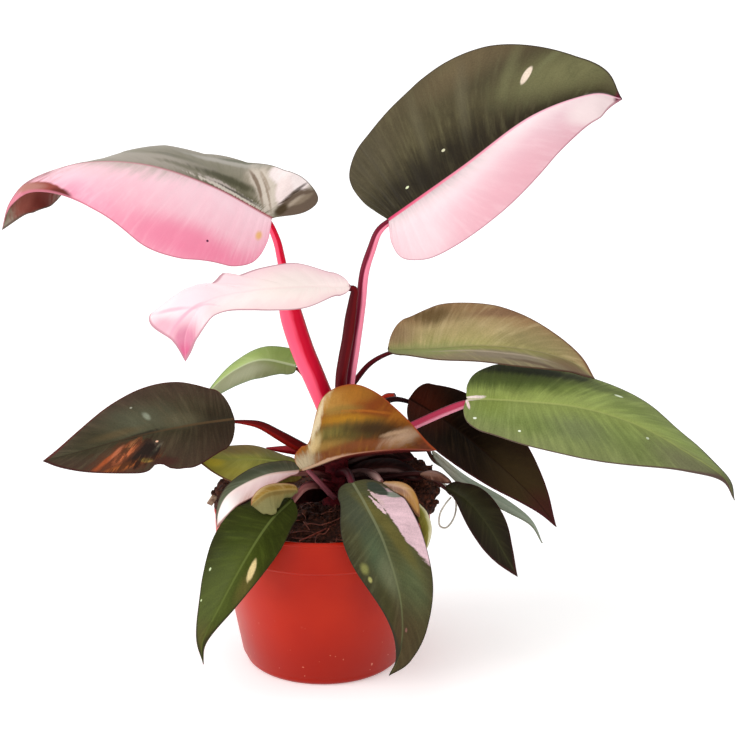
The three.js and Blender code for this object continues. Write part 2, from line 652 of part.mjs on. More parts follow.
function stemBody(grow) {
  const low = STEM.bottom - grow;
  const high = STEM.top + grow;
  const path = [
    [STEM.x, STEM.y, low, STEM.radius - 0.6],
    [STEM.x, STEM.y, 84, STEM.radius],
    [STEM.x, STEM.y, 106, STEM.radius - 0.5],
    [STEM.x, STEM.y, high, STEM.radius + 0.2],
  ];
  return roundBody(path, STEM.facets, grow);
}

// ---- leaves -------------------------------------------------------------------------
function sheetSize(leaf) {
  const wide = Math.max(widestOf(leaf.left), widestOf(leaf.right));
  return wide > 20 ? { rows: 15, columns: 4 } : { rows: 11, columns: 3 };
}

function makeBlade(leaf) {
  const { rows, columns } = sheetSize(leaf);
  return bladeBody(leaf, rows, columns);
}

// A round body less the stem and the round bodies given, each with a gap round it.
function clearOf(path, facets, others) {
  let body = toSolid(roundBody(path, facets)).subtract(toSolid(stemBody(GAP)));
  for (const other of others) {
    body = body.subtract(toSolid(roundBody(other, 9, GAP)));
  }
  return body;
}

// Petiole trimmed to stand clear of the stem, of its own blade and of earlier petioles.
function makePetiole(leaf, others) {
  const { rows, columns } = sheetSize(leaf);
  const { ahead, right } = midrib(leaf).at(0);
  const blade = toSolid(bladeBody(leaf, rows, columns, SEAT.across));
  const shifts = [ahead.clone().negate(), right, right.clone().negate()];
  let petiole = clearOf(leaf.petiole, 9, others).subtract(blade);
  for (const shift of shifts) {
    petiole = petiole.subtract(blade.translate(shift.multiplyScalar(SEAT.along).toArray()));
  }
  return toGeometry(largestBody(petiole));
}

// ---- the plant ------------------------------------------------------------------------
const plant = new THREE.Group();
plant.name = 'pink_princess_philodendron';

function add(name, geometry, color, roughness) {
  const material = new THREE.MeshStandardMaterial({ color, roughness, metalness: 0 });
  material.name = name;
  const mesh = new THREE.Mesh(geometry, material);
  mesh.name = name;
  plant.add(mesh);
}

add('pot', makePot(), '#b5382a', 0.45);
add('soil', makeSoil(), '#2b1a14', 0.95);
add('stem', stemBody(0), '#3a1a1c', 0.6);
const petioles = [];
for (const [name, leaf] of Object.entries(LEAVES)) {
  add(`${name}_blade`, makeBlade(leaf), leaf.tint, 0.35);
  add(`${name}_petiole`, makePetiole(leaf, petioles), '#a5223f', 0.4);
  petioles.push(leaf.petiole);
}
for (const [name, scale] of Object.entries(SCALES)) {
  add(name, bladeBody(scale, 8, 2), scale.tint, 0.6);
}
for (const [name, shoot] of Object.entries(SHOOTS)) {
  add(name, toGeometry(largestBody(clearOf(shoot.path, 8, petioles))), shoot.tint, 0.5);
}

export default plant;
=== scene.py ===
"""Looks of a pink princess philodendron in its nursery pot."""

import functools
import math
import random

import bpy
import numpy as np
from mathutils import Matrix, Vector, noise


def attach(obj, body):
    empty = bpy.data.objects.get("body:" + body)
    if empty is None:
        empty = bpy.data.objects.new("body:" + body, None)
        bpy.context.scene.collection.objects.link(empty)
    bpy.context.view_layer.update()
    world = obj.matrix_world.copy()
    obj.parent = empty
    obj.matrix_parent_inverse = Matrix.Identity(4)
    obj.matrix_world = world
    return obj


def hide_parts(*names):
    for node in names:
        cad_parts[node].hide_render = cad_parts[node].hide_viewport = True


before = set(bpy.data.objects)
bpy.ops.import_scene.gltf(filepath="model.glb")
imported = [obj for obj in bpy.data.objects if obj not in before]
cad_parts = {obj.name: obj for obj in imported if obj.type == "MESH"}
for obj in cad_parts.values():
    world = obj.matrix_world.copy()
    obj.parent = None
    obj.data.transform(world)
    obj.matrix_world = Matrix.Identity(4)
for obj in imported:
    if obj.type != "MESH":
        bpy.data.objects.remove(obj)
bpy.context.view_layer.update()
bpy.ops.object.select_all(action="DESELECT")

MM = 0.001


# ---- camera, light and floor ---------------------------------------------------------------

CAMERA = {"place": (25, -1000, 470), "down": 16.8, "lens": 94.35, "sensor": 36}  # mm and degrees
LAMPS = {  # kind, place and aim in metres, power, and how soft: the angle a sun fills or a lamp's side
    "sky_panel": ("SUN", (-1.2, -1.6, 2.6), (0, 0, 0.2), 0.7, math.radians(50)),
    "side_box": ("AREA", (-1.3, -0.4, 0.4), (0, 0, 0.08), 10, 0.6),
}
SURROUNDINGS = 0.78  # strength of the white light from all round


def place_camera():
    location = [MM * value for value in CAMERA["place"]]
    turn = (math.radians(90 - CAMERA["down"]), 0, 0)
    bpy.ops.object.camera_add(location=location, rotation=turn)
    camera = bpy.context.object
    camera.data.lens = CAMERA["lens"]
    camera.data.sensor_width = CAMERA["sensor"]
    camera.data.clip_end = 60
    bpy.context.scene.camera = camera


def place_lamp(name, kind, place, aim, power, soft):
    bpy.ops.object.light_add(type=kind, location=place)
    lamp = bpy.context.object
    lamp.name = name
    lamp.data.energy = power
    setattr(lamp.data, "angle" if kind == "SUN" else "size", soft)
    away = [a - b for a, b in zip(place, aim)]
    flat = math.hypot(away[0], away[1])
    lamp.rotation_euler = (math.atan2(flat, away[2]), 0, math.atan2(away[1], away[0]) + math.pi / 2)


def light_studio():
    """White surroundings, a broad soft sun high on the left, and a soft box low on the left."""
    for name, lamp in LAMPS.items():
        place_lamp(name, *lamp)
    world = bpy.data.worlds.new("studio")
    world.use_nodes = True
    background = world.node_tree.nodes["Background"]
    background.inputs["Color"].default_value = (1, 1, 1, 1)
    background.inputs["Strength"].default_value = SURROUNDINGS
    bpy.context.scene.world = world
    bpy.context.scene.view_settings.view_transform = "Standard"


# ---- materials -------------------------------------------------------------------------------

def linear(code):
    """sRGB hex colour as linear RGBA."""
    values = [int(code[i:i + 2], 16) / 255 for i in (1, 3, 5)]
    return tuple(c / 12.92 if c <= 0.04045 else ((c + 0.055) / 1.055) ** 2.4 for c in values) + (1,)


def node(tree, kind, sockets=(), out=0, stops=(), **settings):
    """Adds a node and gives its output, or the node where out is None. Its sockets, by place or name,
    are fed by another output or hold a constant. Stops are a colour ramp's places and colours."""
    made = tree.nodes.new("ShaderNode" + kind)
    for key, value in settings.items():
        setattr(made, key, value)
    for key, value in sockets.items() if isinstance(sockets, dict) else enumerate(sockets):
        if isinstance(value, bpy.types.NodeSocket):
            tree.links.new(value, made.inputs[key])
        else:
            made.inputs[key].default_value = linear(value) if isinstance(value, str) else value
    while stops and len(made.color_ramp.elements) < len(stops):
        made.color_ramp.elements.new(1)
    for (place, colour), element in zip(stops, made.color_ramp.elements if stops else ()):
        element.position = place
        element.color = linear(colour)
    return made if out is None else made.outputs[out]


def new_material(name, **constants):
    """A material, the node function bound to its tree, and its shader with constants set."""
    material = bpy.data.materials.new(name)
    material.use_nodes = True
    shader = material.node_tree.nodes["Principled BSDF"]
    for key, value in constants.items():
        shader.inputs[key.replace("_", " ")].default_value = value
    return material, functools.partial(node, material.node_tree), shader


SMOOTH = {"interpolation_type": "SMOOTHSTEP"}  # for a map range
COLOURS = {"data_type": "RGBA", "out": 2}  # for a mix


def feed(shader, **outputs):
    """Links outputs to the shader's sockets."""
    for key, value in outputs.items():
        shader.id_data.links.new(value, shader.inputs[key.replace("_", " ")])


# ---- leaf surface ------------------------------------------------------------------------------

STATIONS = (0.1, 0.25, 0.42, 0.6, 0.78, 0.92)  # shares of the midrib where a margin bends
SWEEP = 2.4  # how much the side veins lean towards the tip
BOW = 1.15  # how much they bow
WAVE = {"height": 0.018, "count": 2, "offset": 0.37}
# Rounding of a half behind its first station: shares of the way there, of the lobe's depth and of
# the width.
LOBE = ((0.08, 0.7, 0.35), (0.3, 1, 0.68), (0.62, 0.6, 0.9))
NOT_FLAT = 0.01  # degrees added to every curl, so that none is zero


def curve(points, share):
    """Smooth curve through the points, at shares of the way."""
    points = np.asarray(points, float)
    last = len(points) - 1
    place = np.clip(np.asarray(share, float), 0, 1) * last
    i = np.minimum(place.astype(int), last - 1)
    w = (place - i)[..., None]
    padded = np.vstack([2 * points[0] - points[1], points, 2 * points[-1] - points[-2]])
    a, b, c, d = (padded[i + k] for k in range(4))
    start, end = (c - a) / 2, (d - b) / 2
    return b + start * w + (3 * (c - b) - 2 * start - end) * w**2 + (2 * (b - c) + start + end) * w**3


def unit(vectors):
    return vectors / np.linalg.norm(vectors, axis=-1, keepdims=True)


class Midrib:
    """Midrib of a leaf, with the way its upper side looks."""

    def __init__(self, leaf):
        self.points = leaf["rib"]
        self.looks = unit(np.array(leaf["face"], float))
        self.steps = np.linspace(0, 1, 401)
        reach = np.linalg.norm(np.diff(curve(self.points, self.steps), axis=0), axis=1)
        self.reached = np.concatenate([[0], np.cumsum(reach)])
        self.length = self.reached[-1]

    def at(self, along):
        """Point, direction ahead, up and right at distances along the midrib."""
        inside = np.clip(along, 0, self.length)
        share = np.interp(inside, self.reached, self.steps)
        ahead = unit(curve(self.points, share + 1e-4) - curve(self.points, share - 1e-4))
        up = curve(self.looks, share)
        up = unit(up - np.sum(up * ahead, axis=-1, keepdims=True) * ahead)
        point = curve(self.points, share) + ahead * (along - inside)[..., None]
        return point, ahead, up, np.cross(ahead, up)


def half_width(half, share):
    if share < half["at"]:
        back = (half["at"] - share) / (half["at"] - STATIONS[0])
        return half["wide"] * (1 - (1 - half["base"]) * back**2)
    on = (share - half["at"]) / (1 - half["at"])
    return half["wide"] * math.cos(math.pi / 2 * on) ** half["tip"]


def widest(half):
    return half.get("wide") or max(width for _, width in half["outline"])


def margin(length, half):
    """Points of one half's margin laid flat: along the midrib, away from it."""
    outline = half.get("outline") or [(share, half_width(half, share)) for share in STATIONS]
    reach, first = outline[0][0] * length, outline[0][1]
    base = [(ahead * reach - deep * half["lobe"], wide * first) for ahead, deep, wide in LOBE]
    return [(0, 0), *base, *((share * length, width) for share, width in outline), (length, 0)]


def listed(values, share):
    return np.interp(share * (len(values) - 1), np.arange(len(values)), values)


def half_surface(rib, half, side, t, v):
    """Points of one half on a grid of vein place t and share v of the way to the margin, with what
    the finish needs to know about them."""
    edge = curve(margin(rib.length, half), t)
    reach = np.maximum(edge[..., 1], 0)
    for middle, spread, depth in half.get("nicks", ()):
        reach = np.maximum(reach - depth * np.exp(-(((t - middle) / spread) ** 2)), 0)
    start = rib.length * t**SWEEP
    along = start + (edge[..., 0] - start) * v**BOW
    across = reach * v
    share = np.clip(along / rib.length, 0, 1)
    wide = widest(half)
    fold = np.radians(listed(half["fold"], share))
    turn = np.radians(listed(half["curl"], share) + NOT_FLAT) / wide
    out = (np.sin(fold + turn * across) - np.sin(fold)) / turn
    rise = (np.cos(fold) - np.cos(fold + turn * across)) / turn
    phase = WAVE["count"] * share + (WAVE["offset"] if side > 0 else 0)
    wave = WAVE["height"] * wide * np.sin(2 * np.pi * phase) * (across / wide) ** 2
    point, _, up, right = rib.at(along)
    place = point + side * out[..., None] * right + (rise + wave)[..., None] * up
    return place, np.stack([t, side * v, share], -1), np.stack([along, side * across, reach - across], -1)


PUFF = {"height": 0.16, "from_rib": 3, "from_edge": 4}  # mm
PUFF_ENDS = 5  # it fades out over the last fifth of the side veins
VEIN_WIDE = 0.2  # of the way from one side vein to the next
GROOVE = {"deep": 0.55, "wide": 1.1}  # mm
GROOVE_FADES = 0.8  # of its depth, towards the tip
THICK = 0.55  # a blade, mm
ROWS_A_VEIN = 8
SMOOTH_UNDER = math.radians(50)


def relief(vein, spot, count):
    """Height of the upper side over the smooth blade, mm: a groove along the midrib, sunk side veins
    and the blade puffed a little between them."""
    t, share = vein[..., 0], vein[..., 2]
    across, from_edge = np.abs(spot[..., 1]), spot[..., 2]
    line = np.abs((t * count + 0.5) % 1 - 0.5)
    fade = np.clip(across / PUFF["from_rib"], 0, 1) * np.clip(from_edge / PUFF["from_edge"], 0, 1)
    fade = fade * np.clip((1 - t) * PUFF_ENDS, 0, 1)
    puff = PUFF["height"] * (1 - np.exp(-((line / VEIN_WIDE) ** 2))) * fade
    groove = GROOVE["deep"] * np.exp(-((across / GROOVE["wide"]) ** 2)) * (1 - GROOVE_FADES * share)
    return puff - groove


def grid_piece(name, rows, columns):
    """A flat grid with rows of columns + 1 points, ready to be shaped."""
    bpy.ops.mesh.primitive_grid_add(x_subdivisions=columns, y_subdivisions=rows - 1, size=1)
    piece = bpy.context.object
    piece.name = name
    piece.data.name = name
    return piece


def shape(piece, points, **attributes):
    """Moves the vertices to points in millimetres and stores what the finish reads."""
    flat = (np.asarray(points).reshape(-1, 3) * MM).astype(np.float32)
    piece.data.vertices.foreach_set("co", flat.ravel())
    for key, values in attributes.items():
        stored = piece.data.attributes.new(key, "FLOAT_VECTOR", "POINT")
        stored.data.foreach_set("vector", np.asarray(values, np.float32).reshape(-1, 3).ravel())
    piece.data.update()


def edit(piece, *steps):
    """Runs edit-mode steps on all of a piece."""
    bpy.context.view_layer.objects.active = piece
    bpy.ops.object.mode_set(mode="EDIT")
    bpy.ops.mesh.select_all(action="SELECT")
    for operator, values in steps:
        operator(**values)
    bpy.ops.object.mode_set(mode="OBJECT")


def apply(piece, kind, **values):
    """Adds a modifier and applies it."""
    made = piece.modifiers.new(kind.lower(), kind)
    for key, value in values.items():
        setattr(made, key, value)
    bpy.context.view_layer.objects.active = piece
    bpy.ops.object.modifier_apply(modifier=made.name)


def finish_piece(piece, slot, *nodes):
    """Smooth shading, its body and the nodes it stands for. Its slot is not used."""
    piece.select_set(True)
    bpy.context.view_layer.objects.active = piece
    bpy.ops.object.shade_smooth_by_angle(angle=SMOOTH_UNDER)
    bpy.ops.object.select_all(action="DESELECT")
    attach(piece, "root")
    if nodes:
        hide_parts(*nodes)


def surface_normals(points):
    ahead = np.gradient(points, axis=0)
    across = np.gradient(points, axis=1)
    normals = np.cross(across, ahead)
    size = np.linalg.norm(normals, axis=-1, keepdims=True)
    return normals / np.maximum(size, 1e-9)


def blade(name, leaf, veins, columns):
    """A leaf blade: a grid laid on the leaf's surface, given its relief and its thickness."""
    rib = Midrib(leaf)
    rows = ROWS_A_VEIN * veins + 1
    t, v = np.meshgrid(np.linspace(0, 1, rows), np.linspace(0, 1, columns + 1), indexing="ij")
    left = half_surface(rib, leaf["left"], -1, t, v)
    right = half_surface(rib, leaf["right"], 1, t, v)
    points, vein, spot = (np.concatenate([a[:, :0:-1], b], axis=1) for a, b in zip(left, right))
    points = points + surface_normals(points) * relief(vein, spot, veins)[..., None]
    points[0], points[-1] = rib.at(np.array([0.0, rib.length]))[0][:, None]
    piece = grid_piece(name, rows, 2 * columns)
    shape(piece, points, vein_place=vein, leaf_place=spot)
    edit(piece, (bpy.ops.mesh.remove_doubles, {"threshold": 1e-5}))
    apply(piece, "SOLIDIFY", thickness=THICK * MM, offset=0, use_rim=True, material_offset=1)
    return piece


# ---- round pieces ------------------------------------------------------------------------------

def path_length(path):
    line = curve(np.array(path)[:, :3], np.linspace(0, 1, 200))
    return np.sum(np.linalg.norm(np.diff(line, axis=0), axis=1))


def tube(name, path, sides=14, step=2.5):
    """A grid rolled round a path of x, y, z, radius points, closed at its ends. The finish reads
    the distance along it, and how far to the right and to the front a point lies."""
    path = np.array(path, float)
    length = path_length(path)
    rows = max(8, int(length / step))
    share = np.linspace(0, 1, rows)
    line = curve(path, share)
    centre, radius = line[:, :3], line[:, 3]
    ahead = unit(np.gradient(centre, axis=0))
    front = np.array([0.0, -1.0, 0.0])
    first = unit(front - ahead * (ahead @ front)[:, None] + 1e-9)
    second = np.cross(ahead, first)
    angle = np.linspace(-np.pi, np.pi, sides + 1)
    sine, cosine = np.sin(angle)[None, :, None], np.cos(angle)[None, :, None]
    points = centre[:, None] + (first[:, None] * cosine + second[:, None] * sine) * radius[:, None, None]
    along = np.linspace(0, length, rows)[:, None, None]
    place = np.concatenate(np.broadcast_arrays(along, sine, cosine), -1)
    piece = grid_piece(name, rows, sides)
    shape(piece, points, stalk_place=place)
    edit(piece, (bpy.ops.mesh.remove_doubles, {"threshold": 1e-6}),
         (bpy.ops.mesh.fill_holes, {"sides": 0}),
         (bpy.ops.mesh.normals_make_consistent, {"inside": False}))
    return piece


# ---- the leaves --------------------------------------------------------------------------------

def half(wide, at, base, tip, lobe, fold, curl, **more):
    """Half of a blade: its widest, where that is as a share of the midrib, its width at the first station
    as a share of it, the power that shapes the tip, how far the lobe reaches back, and from base to tip
    the degrees that it is folded up at the midrib and curls on to its margin. Nicks are shares of the
    side veins' run, their spread and their depth."""
    return {"wide": wide, "at": at, "base": base, "tip": tip, "lobe": lobe, "fold": fold, "curl": curl,
            **more}


LEAVES = {
    "top_right": {
        "rib": [(36, 0, 250), (74, -6, 279), (109, -4, 305), (141, 2, 316), (158, 6, 313)],
        "face": [(-0.35, -0.75, 0.55), (-0.2, -0.8, 0.6), (-0.1, -0.7, 0.7)],
        "left": half(54, 0.42, 0.86, 0.75, 12, [10, 10, 5], [0, -15]),
        "right": half(32, 0.25, 0.97, 0.7, 9, [-15, -15], [-5, -10], nicks=[(0.9, 0.045, -2.6)]),
        "petiole": [(13, 4, 126.3, 2.9), (14, 0, 145, 2.9), (15, -1, 160, 2.9), (18, -1, 181, 2.9),
                    (21, 0, 203, 2.8), (23, 1, 221, 2.6), (27, 2, 234, 2.4), (31, 1, 244, 2.1),
                    (36, 0, 250, 1.9)],
    },
    "top_left": {
        "rib": [(-26, 0, 251), (-57, -4, 269), (-90, -8, 281), (-122, -12, 283), (-149, -14, 275),
                (-161, -15, 263), (-166, -16, 248)],
        "face": [(0, 0, 1), (0, 0, 1), (-0.3, -0.1, 0.9), (-0.9, -0.3, 0.3)],
        "left": half(45, 0.3, 0.85, 2, 6, [-55, -55, -55, -30], [-5, -10]),
        "right": half(46, 0.3, 0.78, 0.8, 24, [55, 30, 20, 15, 5, -10, -35, -80, -95],
                      [-10, -20, -20, -15, -20], nicks=[(0.33, 0.035, 3)]),
        "petiole": [(7, 2, 126.3, 4.2), (2.5, 1, 145, 5.6), (-3.5, 1, 161, 6), (-10.5, 2, 178, 6.3),
                    (-16, 2, 196, 6.2), (-18, 2, 207, 5), (-19.5, 2, 217, 2.7), (-21.5, 2, 229, 2.3),
                    (-24, 1, 240, 2.1), (-26, 0, 251, 1.9)],
    },
    "middle_pink": {
        "rib": [(15.5, -9, 216), (-11, -22, 219), (-36, -30, 219), (-59, -34, 214), (-69, -37, 199),
                (-70, -38, 183)],
        "face": [(0, -0.8, 0.6), (-0.2, -0.8, 0.6), (-0.5, -0.8, 0.4), (-0.3, -0.9, 0.1)],
        "left": {"outline": [(0.1, 6), (0.25, 12), (0.42, 12), (0.6, 9), (0.78, 9), (0.92, 5)],
                 "lobe": 0, "fold": [0, -5], "curl": [-5, -5]},
        "right": {"outline": [(0.1, 9), (0.25, 14), (0.42, 12), (0.6, 8), (0.75, 10.5), (0.86, 23),
                              (0.91, 7)],
                  "lobe": 0, "fold": [-5, 5, 10], "curl": [0, -5], "nicks": [(0.632, 0.018, -4)]},
        "petiole": [(9, -6, 126.3, 2.9), (10, -8, 145, 3.2), (10.5, -8, 164, 3.2), (12, -8, 175, 3.2),
                    (14, -8, 186, 3.2), (15.5, -8, 198, 3), (17, -8, 208, 2.4), (17.6, -8, 214, 2),
                    (18, -8.5, 220, 1.4)],
    },
    "back_left": {
        "rib": [(-16, 45, 156), (-35, 50, 158), (-50, 55, 151), (-63, 58, 140), (-72, 60, 128)],
        "face": [(0, -0.3, 0.95), (0, -0.3, 0.95), (-0.4, -0.3, 0.9)],
        "left": half(11, 0.28, 0.64, 0.7, 2, [-35, -35], [-5, -5]),
        "right": half(12, 0.1, 1, 1.4, 5, [15, 10, 0], [-5, -5]),
        "petiole": [(7, 2, 112, 1.9), (2, 11, 127, 1.8), (-4, 23, 144, 1.4), (-11, 38, 152, 1.2),
                    (-16, 45, 156, 1)],
    },
    "left_dark": {
        "rib": [(-47, -15, 144), (-71, -20, 142), (-102, -26, 137), (-127, -30, 131), (-148, -32, 126)],
        "face": [(0, -0.64, 0.77), (0, -0.64, 0.77)],
        "left": half(27, 0.28, 0.74, 0.8, 0, [5, 5], [-5, -5],
                     nicks=[(0.6, 0.034, 5.2), (0.578, 0.009, -0.9), (0.616, 0.009, 0.9),
                            (0.535, 0.02, 0.9)]),
        "right": half(29, 0.32, 0.72, 1.1, 0, [5, 5], [-5, -5]),
        "petiole": [(7, 0, 113, 3.2), (-6, -4, 121, 3.1), (-15, -8, 127.5, 3.1), (-23, -10, 133, 2.8),
                    (-32, -12, 139, 2.3), (-39, -14, 141.5, 1.6), (-47, -15, 144, 0.9)],
    },
    "left_yellow": {
        "rib": [(-14, -8, 116), (-33, -12, 120), (-52, -14, 121), (-71, -16, 124)],
        "face": [(0, -0.4, 0.9), (0, -0.4, 0.9)],
        "left": half(19, 0.4, 0.78, 1, 4, [-5, -5], [-5, -5]),
        "right": half(13.5, 0.5, 0.5, 0.7, 1, [-10, -5], [-5, -5]),
        "petiole": [(7, 0, 107, 2), (-4, -5, 113, 1.8), (-14, -8, 116, 1.5)],
    },
    "left_half_moon": {
        "rib": [(-12, -22, 117), (-28, -31, 118), (-42, -37, 114), (-50, -41, 109), (-54, -43, 101),
                (-55, -44, 93)],
        "face": [(0, -0.4, 0.9), (0, -0.4, 0.9), (-0.6, -0.4, 0.6), (-0.9, -0.4, 0.2)],
        "left": half(9, 0.65, 0.33, 0.7, 0, [-20, -20], [-5, -5]),
        "right": half(9, 0.15, 1, 0.8, 2, [5, 0], [-5, -5]),
        "petiole": [(7, -1, 104, 2), (-2, -13, 112, 1.8), (-12, -22, 117, 1.5)],
    },
    "front_left": {
        "rib": [(-15, -50, 111), (-26, -64, 104), (-38, -71, 87), (-51, -74, 63), (-61, -75, 42),
                (-61.5, -75, 28)],
        "face": [(-0.35, -0.8, 0.6), (-0.35, -0.9, 0.4), (-0.35, -0.9, 0.1)],
        "left": half(13, 0.25, 0.77, 1.4, 0, [-25, -20], [-10, -5]),
        "right": half(27, 0.33, 0.84, 1.35, 5, [-15, -15], [-5, -10]),
        "petiole": [(7, -2, 100, 2.4), (-2, -22, 109, 2.3), (-9, -38, 113, 2.1), (-15, -50, 111, 1.6)],
    },
    "front_right": {
        "rib": [(17, -46, 119), (24, -64, 113), (33, -74, 97), (41, -78, 71), (43, -79, 50), (41, -80, 35),
                (36, -80, 24)],
        "face": [(0.2, -0.8, 0.6), (0.1, -1, 0.3), (0.1, -1, 0.1)],
        "left": half(23.5, 0.4, 1, 0.7, 5, [-15, -25], [-10, -10]),
        "right": half(21, 0.35, 0.57, 1.9, 4, [-20, -20], [-10, -10]),
        "petiole": [(8, -2, 108, 2.6), (14, -25, 117, 2.3), (17, -46, 119, 1.9)],
    },
    "right_small": {
        "rib": [(67, -20, 107), (79, -26, 101), (90, -30, 88), (98, -32, 74), (106, -33, 60)],
        "face": [(0.3, -0.8, 0.5), (0.4, -0.8, 0.4), (0.4, -0.8, 0.3)],
        "left": half(12.5, 0.35, 0.58, 1.1, 0, [-5, 0], [-5, -5]),
        "right": half(10.5, 0.5, 0.3, 0.95, 0, [0, 0], [-5, -5]),
        "petiole": [(8, -1, 101, 1.9), (37, -12, 110, 1.6), (55, -17, 113, 1.4), (67, -20, 107, 1.1)],
    },
    "right_dark": {
        "rib": [(48, 18, 145), (71, 21, 129), (99, 20, 105), (119, 16, 86), (131, 12, 71)],
        "face": [(0.3, -0.7, 0.6), (0.3, -0.7, 0.6)],
        "left": half(26, 0.45, 0.62, 1.2, 0, [0, 0], [-5, -5]),
        "right": half(24, 0.25, 0.96, 1.2, 1, [15, 15, 5], [10, 0, -5]),
        "petiole": [(9, 0, 112, 2), (19, 6, 126, 1.9), (28, 12, 140, 1.8), (38, 16, 145, 1.6),
                    (48, 18, 145, 1.4)],
    },
    "right_green": {
        "rib": [(78, -15, 155.5), (103, -20, 156), (138, -26, 154), (169, -30, 145), (198, -34, 129),
                (214, -36, 118), (220, -38, 106)],
        "face": [(0, -0.4, 0.9), (0.05, -0.42, 0.9), (0.3, -0.45, 0.85)],
        "left": half(34, 0.25, 0.97, 0.9, 4, [-5, -10, -15], [0, -5],
                     nicks=[(0.76, 0.05, 3.4), (0.87, 0.05, 3)]),
        "right": half(31, 0.4, 0.77, 1.7, 3, [-5, -15, -15], [-5, -5]),
        "petiole": [(8, 0, 116, 2.6), (34, -6, 129, 2.5), (49, -9, 138, 2.4), (72, -13, 150, 2.4),
                    (78, -15, 155, 2.2)],
    },
    "right_olive": {
        "rib": [(36, 10, 176), (59, 8, 177), (86, 6, 179), (113, 4, 177), (135, 2, 171), (148, 0, 162)],
        "face": [(0, -0.45, 0.9), (0, -0.4, 0.9), (0.2, -0.4, 0.9)],
        "left": half(29, 0.3, 0.72, 1, 0, [15, 20, 10], [-5, -5]),
        "right": half(18, 0.55, 0.45, 0.75, 1, [15, 10, 5], [0, -5]),
        "petiole": [(8, 2, 113, 1.9), (13, 10, 128, 1.8), (14, 9, 150, 1.7), (19, 10, 159, 1.6),
                    (27, 11, 168, 1.4), (36, 10, 176, 1.3)],
    },
    "centre_orange": {
        "rib": [(-10, -38, 123), (13, -43, 133), (39, -45, 137), (61, -43, 136)],
        "face": [(0, -0.75, 0.6), (0, -0.75, 0.6)],
        "left": half(39.5, 0.36, 0.38, 1.2, 5, [-10, 5, 5], [0, -5]),
        "right": half(9, 0.45, 0.36, 0.7, 2, [-95, -95], [-5, -5]),
        "petiole": [(7, -2, 96, 1.9), (6, -21, 102, 1.7), (-1, -31.5, 114, 1.5), (-9, -34.8, 120.8, 1.3)],
    },
    "back_right": {
        "rib": [(62, 26, 109), (82, 34, 89), (105, 38, 74), (119, 40, 63), (126, 40, 50)],
        "face": [(0.5, -0.05, 0.75), (0.5, -0.05, 0.75)],
        "left": half(9, 0.35, 0.78, 0.9, 2, [5, 5], [-5, -5]),
        "right": half(9, 0.35, 0.78, 0.9, 2, [-5, -5], [-5, -5]),
        "petiole": [(8, 1, 106, 1.9), (22, 12, 119, 1.8), (40, 22, 124, 1.6), (55, 25, 118, 1.4),
                    (62, 26, 109, 1.2)],
    },
}

CASE = half(4, 0.4, 0.5, 0.6, 0, [-20, -20], [-5, -5])
SCALES = {
    "bract_pale": {
        "rib": [(-12, -46, 115.4), (-19, -51, 117), (-28, -55, 116.5), (-36, -58, 111)],
        "face": [(0, -0.7, 0.7), (-0.2, -0.8, 0.5)],
        "left": half(12, 0.75, 0.25, 0.3, 0, [0, 0], [-5, -5],
                     nicks=[(0.56, 0.07, 3.6), (0.68, 0.03, 1.2), (0.88, 0.03, 1.6)]),
        "right": half(5, 0.7, 0.6, 0.5, 0, [0, -15, -30], [-5, -10]),
    },
    "sheath_tan": {
        "rib": [(32.6, -34.4, 114.8), (44, -43, 114.5), (49, -48, 110), (52, -50, 101)],
        "face": [(0.3, -0.8, 0.6), (0.5, -0.8, 0.3)],
        "left": CASE,
        "right": CASE,
    },
    "sheath_olive": {
        "rib": [(51, -30.5, 102), (55, -35, 96.5), (57, -39, 89), (56, -41, 79)],
        "face": [(0.6, -0.8, 0.3), (0.6, -0.8, 0.3)],
        "left": CASE,
        "right": CASE,
    },
    "sheath_brown": {
        "rib": [(53, -19.5, 114.5), (61, -22, 115), (70, -24, 111)],
        "face": [(0, -0.5, 0.9), (0, -0.5, 0.9)],
        "left": CASE,
        "right": CASE,
    },
}

LIMP = half(7, 0.4, 0.6, 0.5, 1, [-25, -20], [-10, -20])
WITHERED = {  # dark, dead sheaths between the stem and the heap: midrib, and where the base and tip face
    "withered_upper": ([(-2, 6, 108), (15, 4, 115), (33, 2, 121), (51, -2, 117)],
                       [(0, -0.8, 0.6), (0.2, -0.8, 0.6)]),
    "withered_middle": ([(12, -4, 108), (27, -9, 114), (41, -11, 115), (55, -12, 109)],
                        [(0, -0.8, 0.6), (0.3, -0.7, 0.6)]),
    "withered_lower": ([(11, -7, 98), (24, -16, 104), (38, -21, 104), (50, -24, 98)],
                       [(0, -0.7, 0.7), (0.3, -0.7, 0.6)]),
    "withered_left": ([(4, -6, 100), (-4, -16, 104), (-10, -26, 106), (-15, -36, 104)],
                      [(0, -0.7, 0.7), (0, -0.7, 0.7)]),
}

SHOOTS = {
    "bud_pale": [(8, 0, 106, 1.3), (21, -9, 112, 1.6), (28, -26, 116, 2.2), (32, -33.5, 115, 1.4)],
    "stub_red": [(9, 3, 108, 1.8), (22, 20, 124, 1.8), (33, 24, 142, 2), (40, 22, 145.5, 1.6)],
    "tip_red": [(5, 1, 117, 2.4), (-8, 4, 119, 3.2), (-20, 4, 120, 2.2), (-31, 3, 121, 0.6)],
    "fibre_loop": [(64.5, -17.2, 108.3, 0.5), (71, -13.5, 103, 0.5), (73, -15, 96, 0.5), (72, -18, 89, 0.5),
                   (68, -21, 84, 0.5), (64, -21, 85, 0.5), (64, -22, 92, 0.5), (67, -22, 98, 0.5),
                   (70, -20, 101, 0.5)],
}


# ---- finishes ----------------------------------------------------------------------------------

STREAK = {"wide": 2, "long": 22}  # mm
BLOTCH = 13  # mm
GRAIN = 0.9  # mm


def look(**values):
    return {"shine": 0.1, "marks": (), **values}
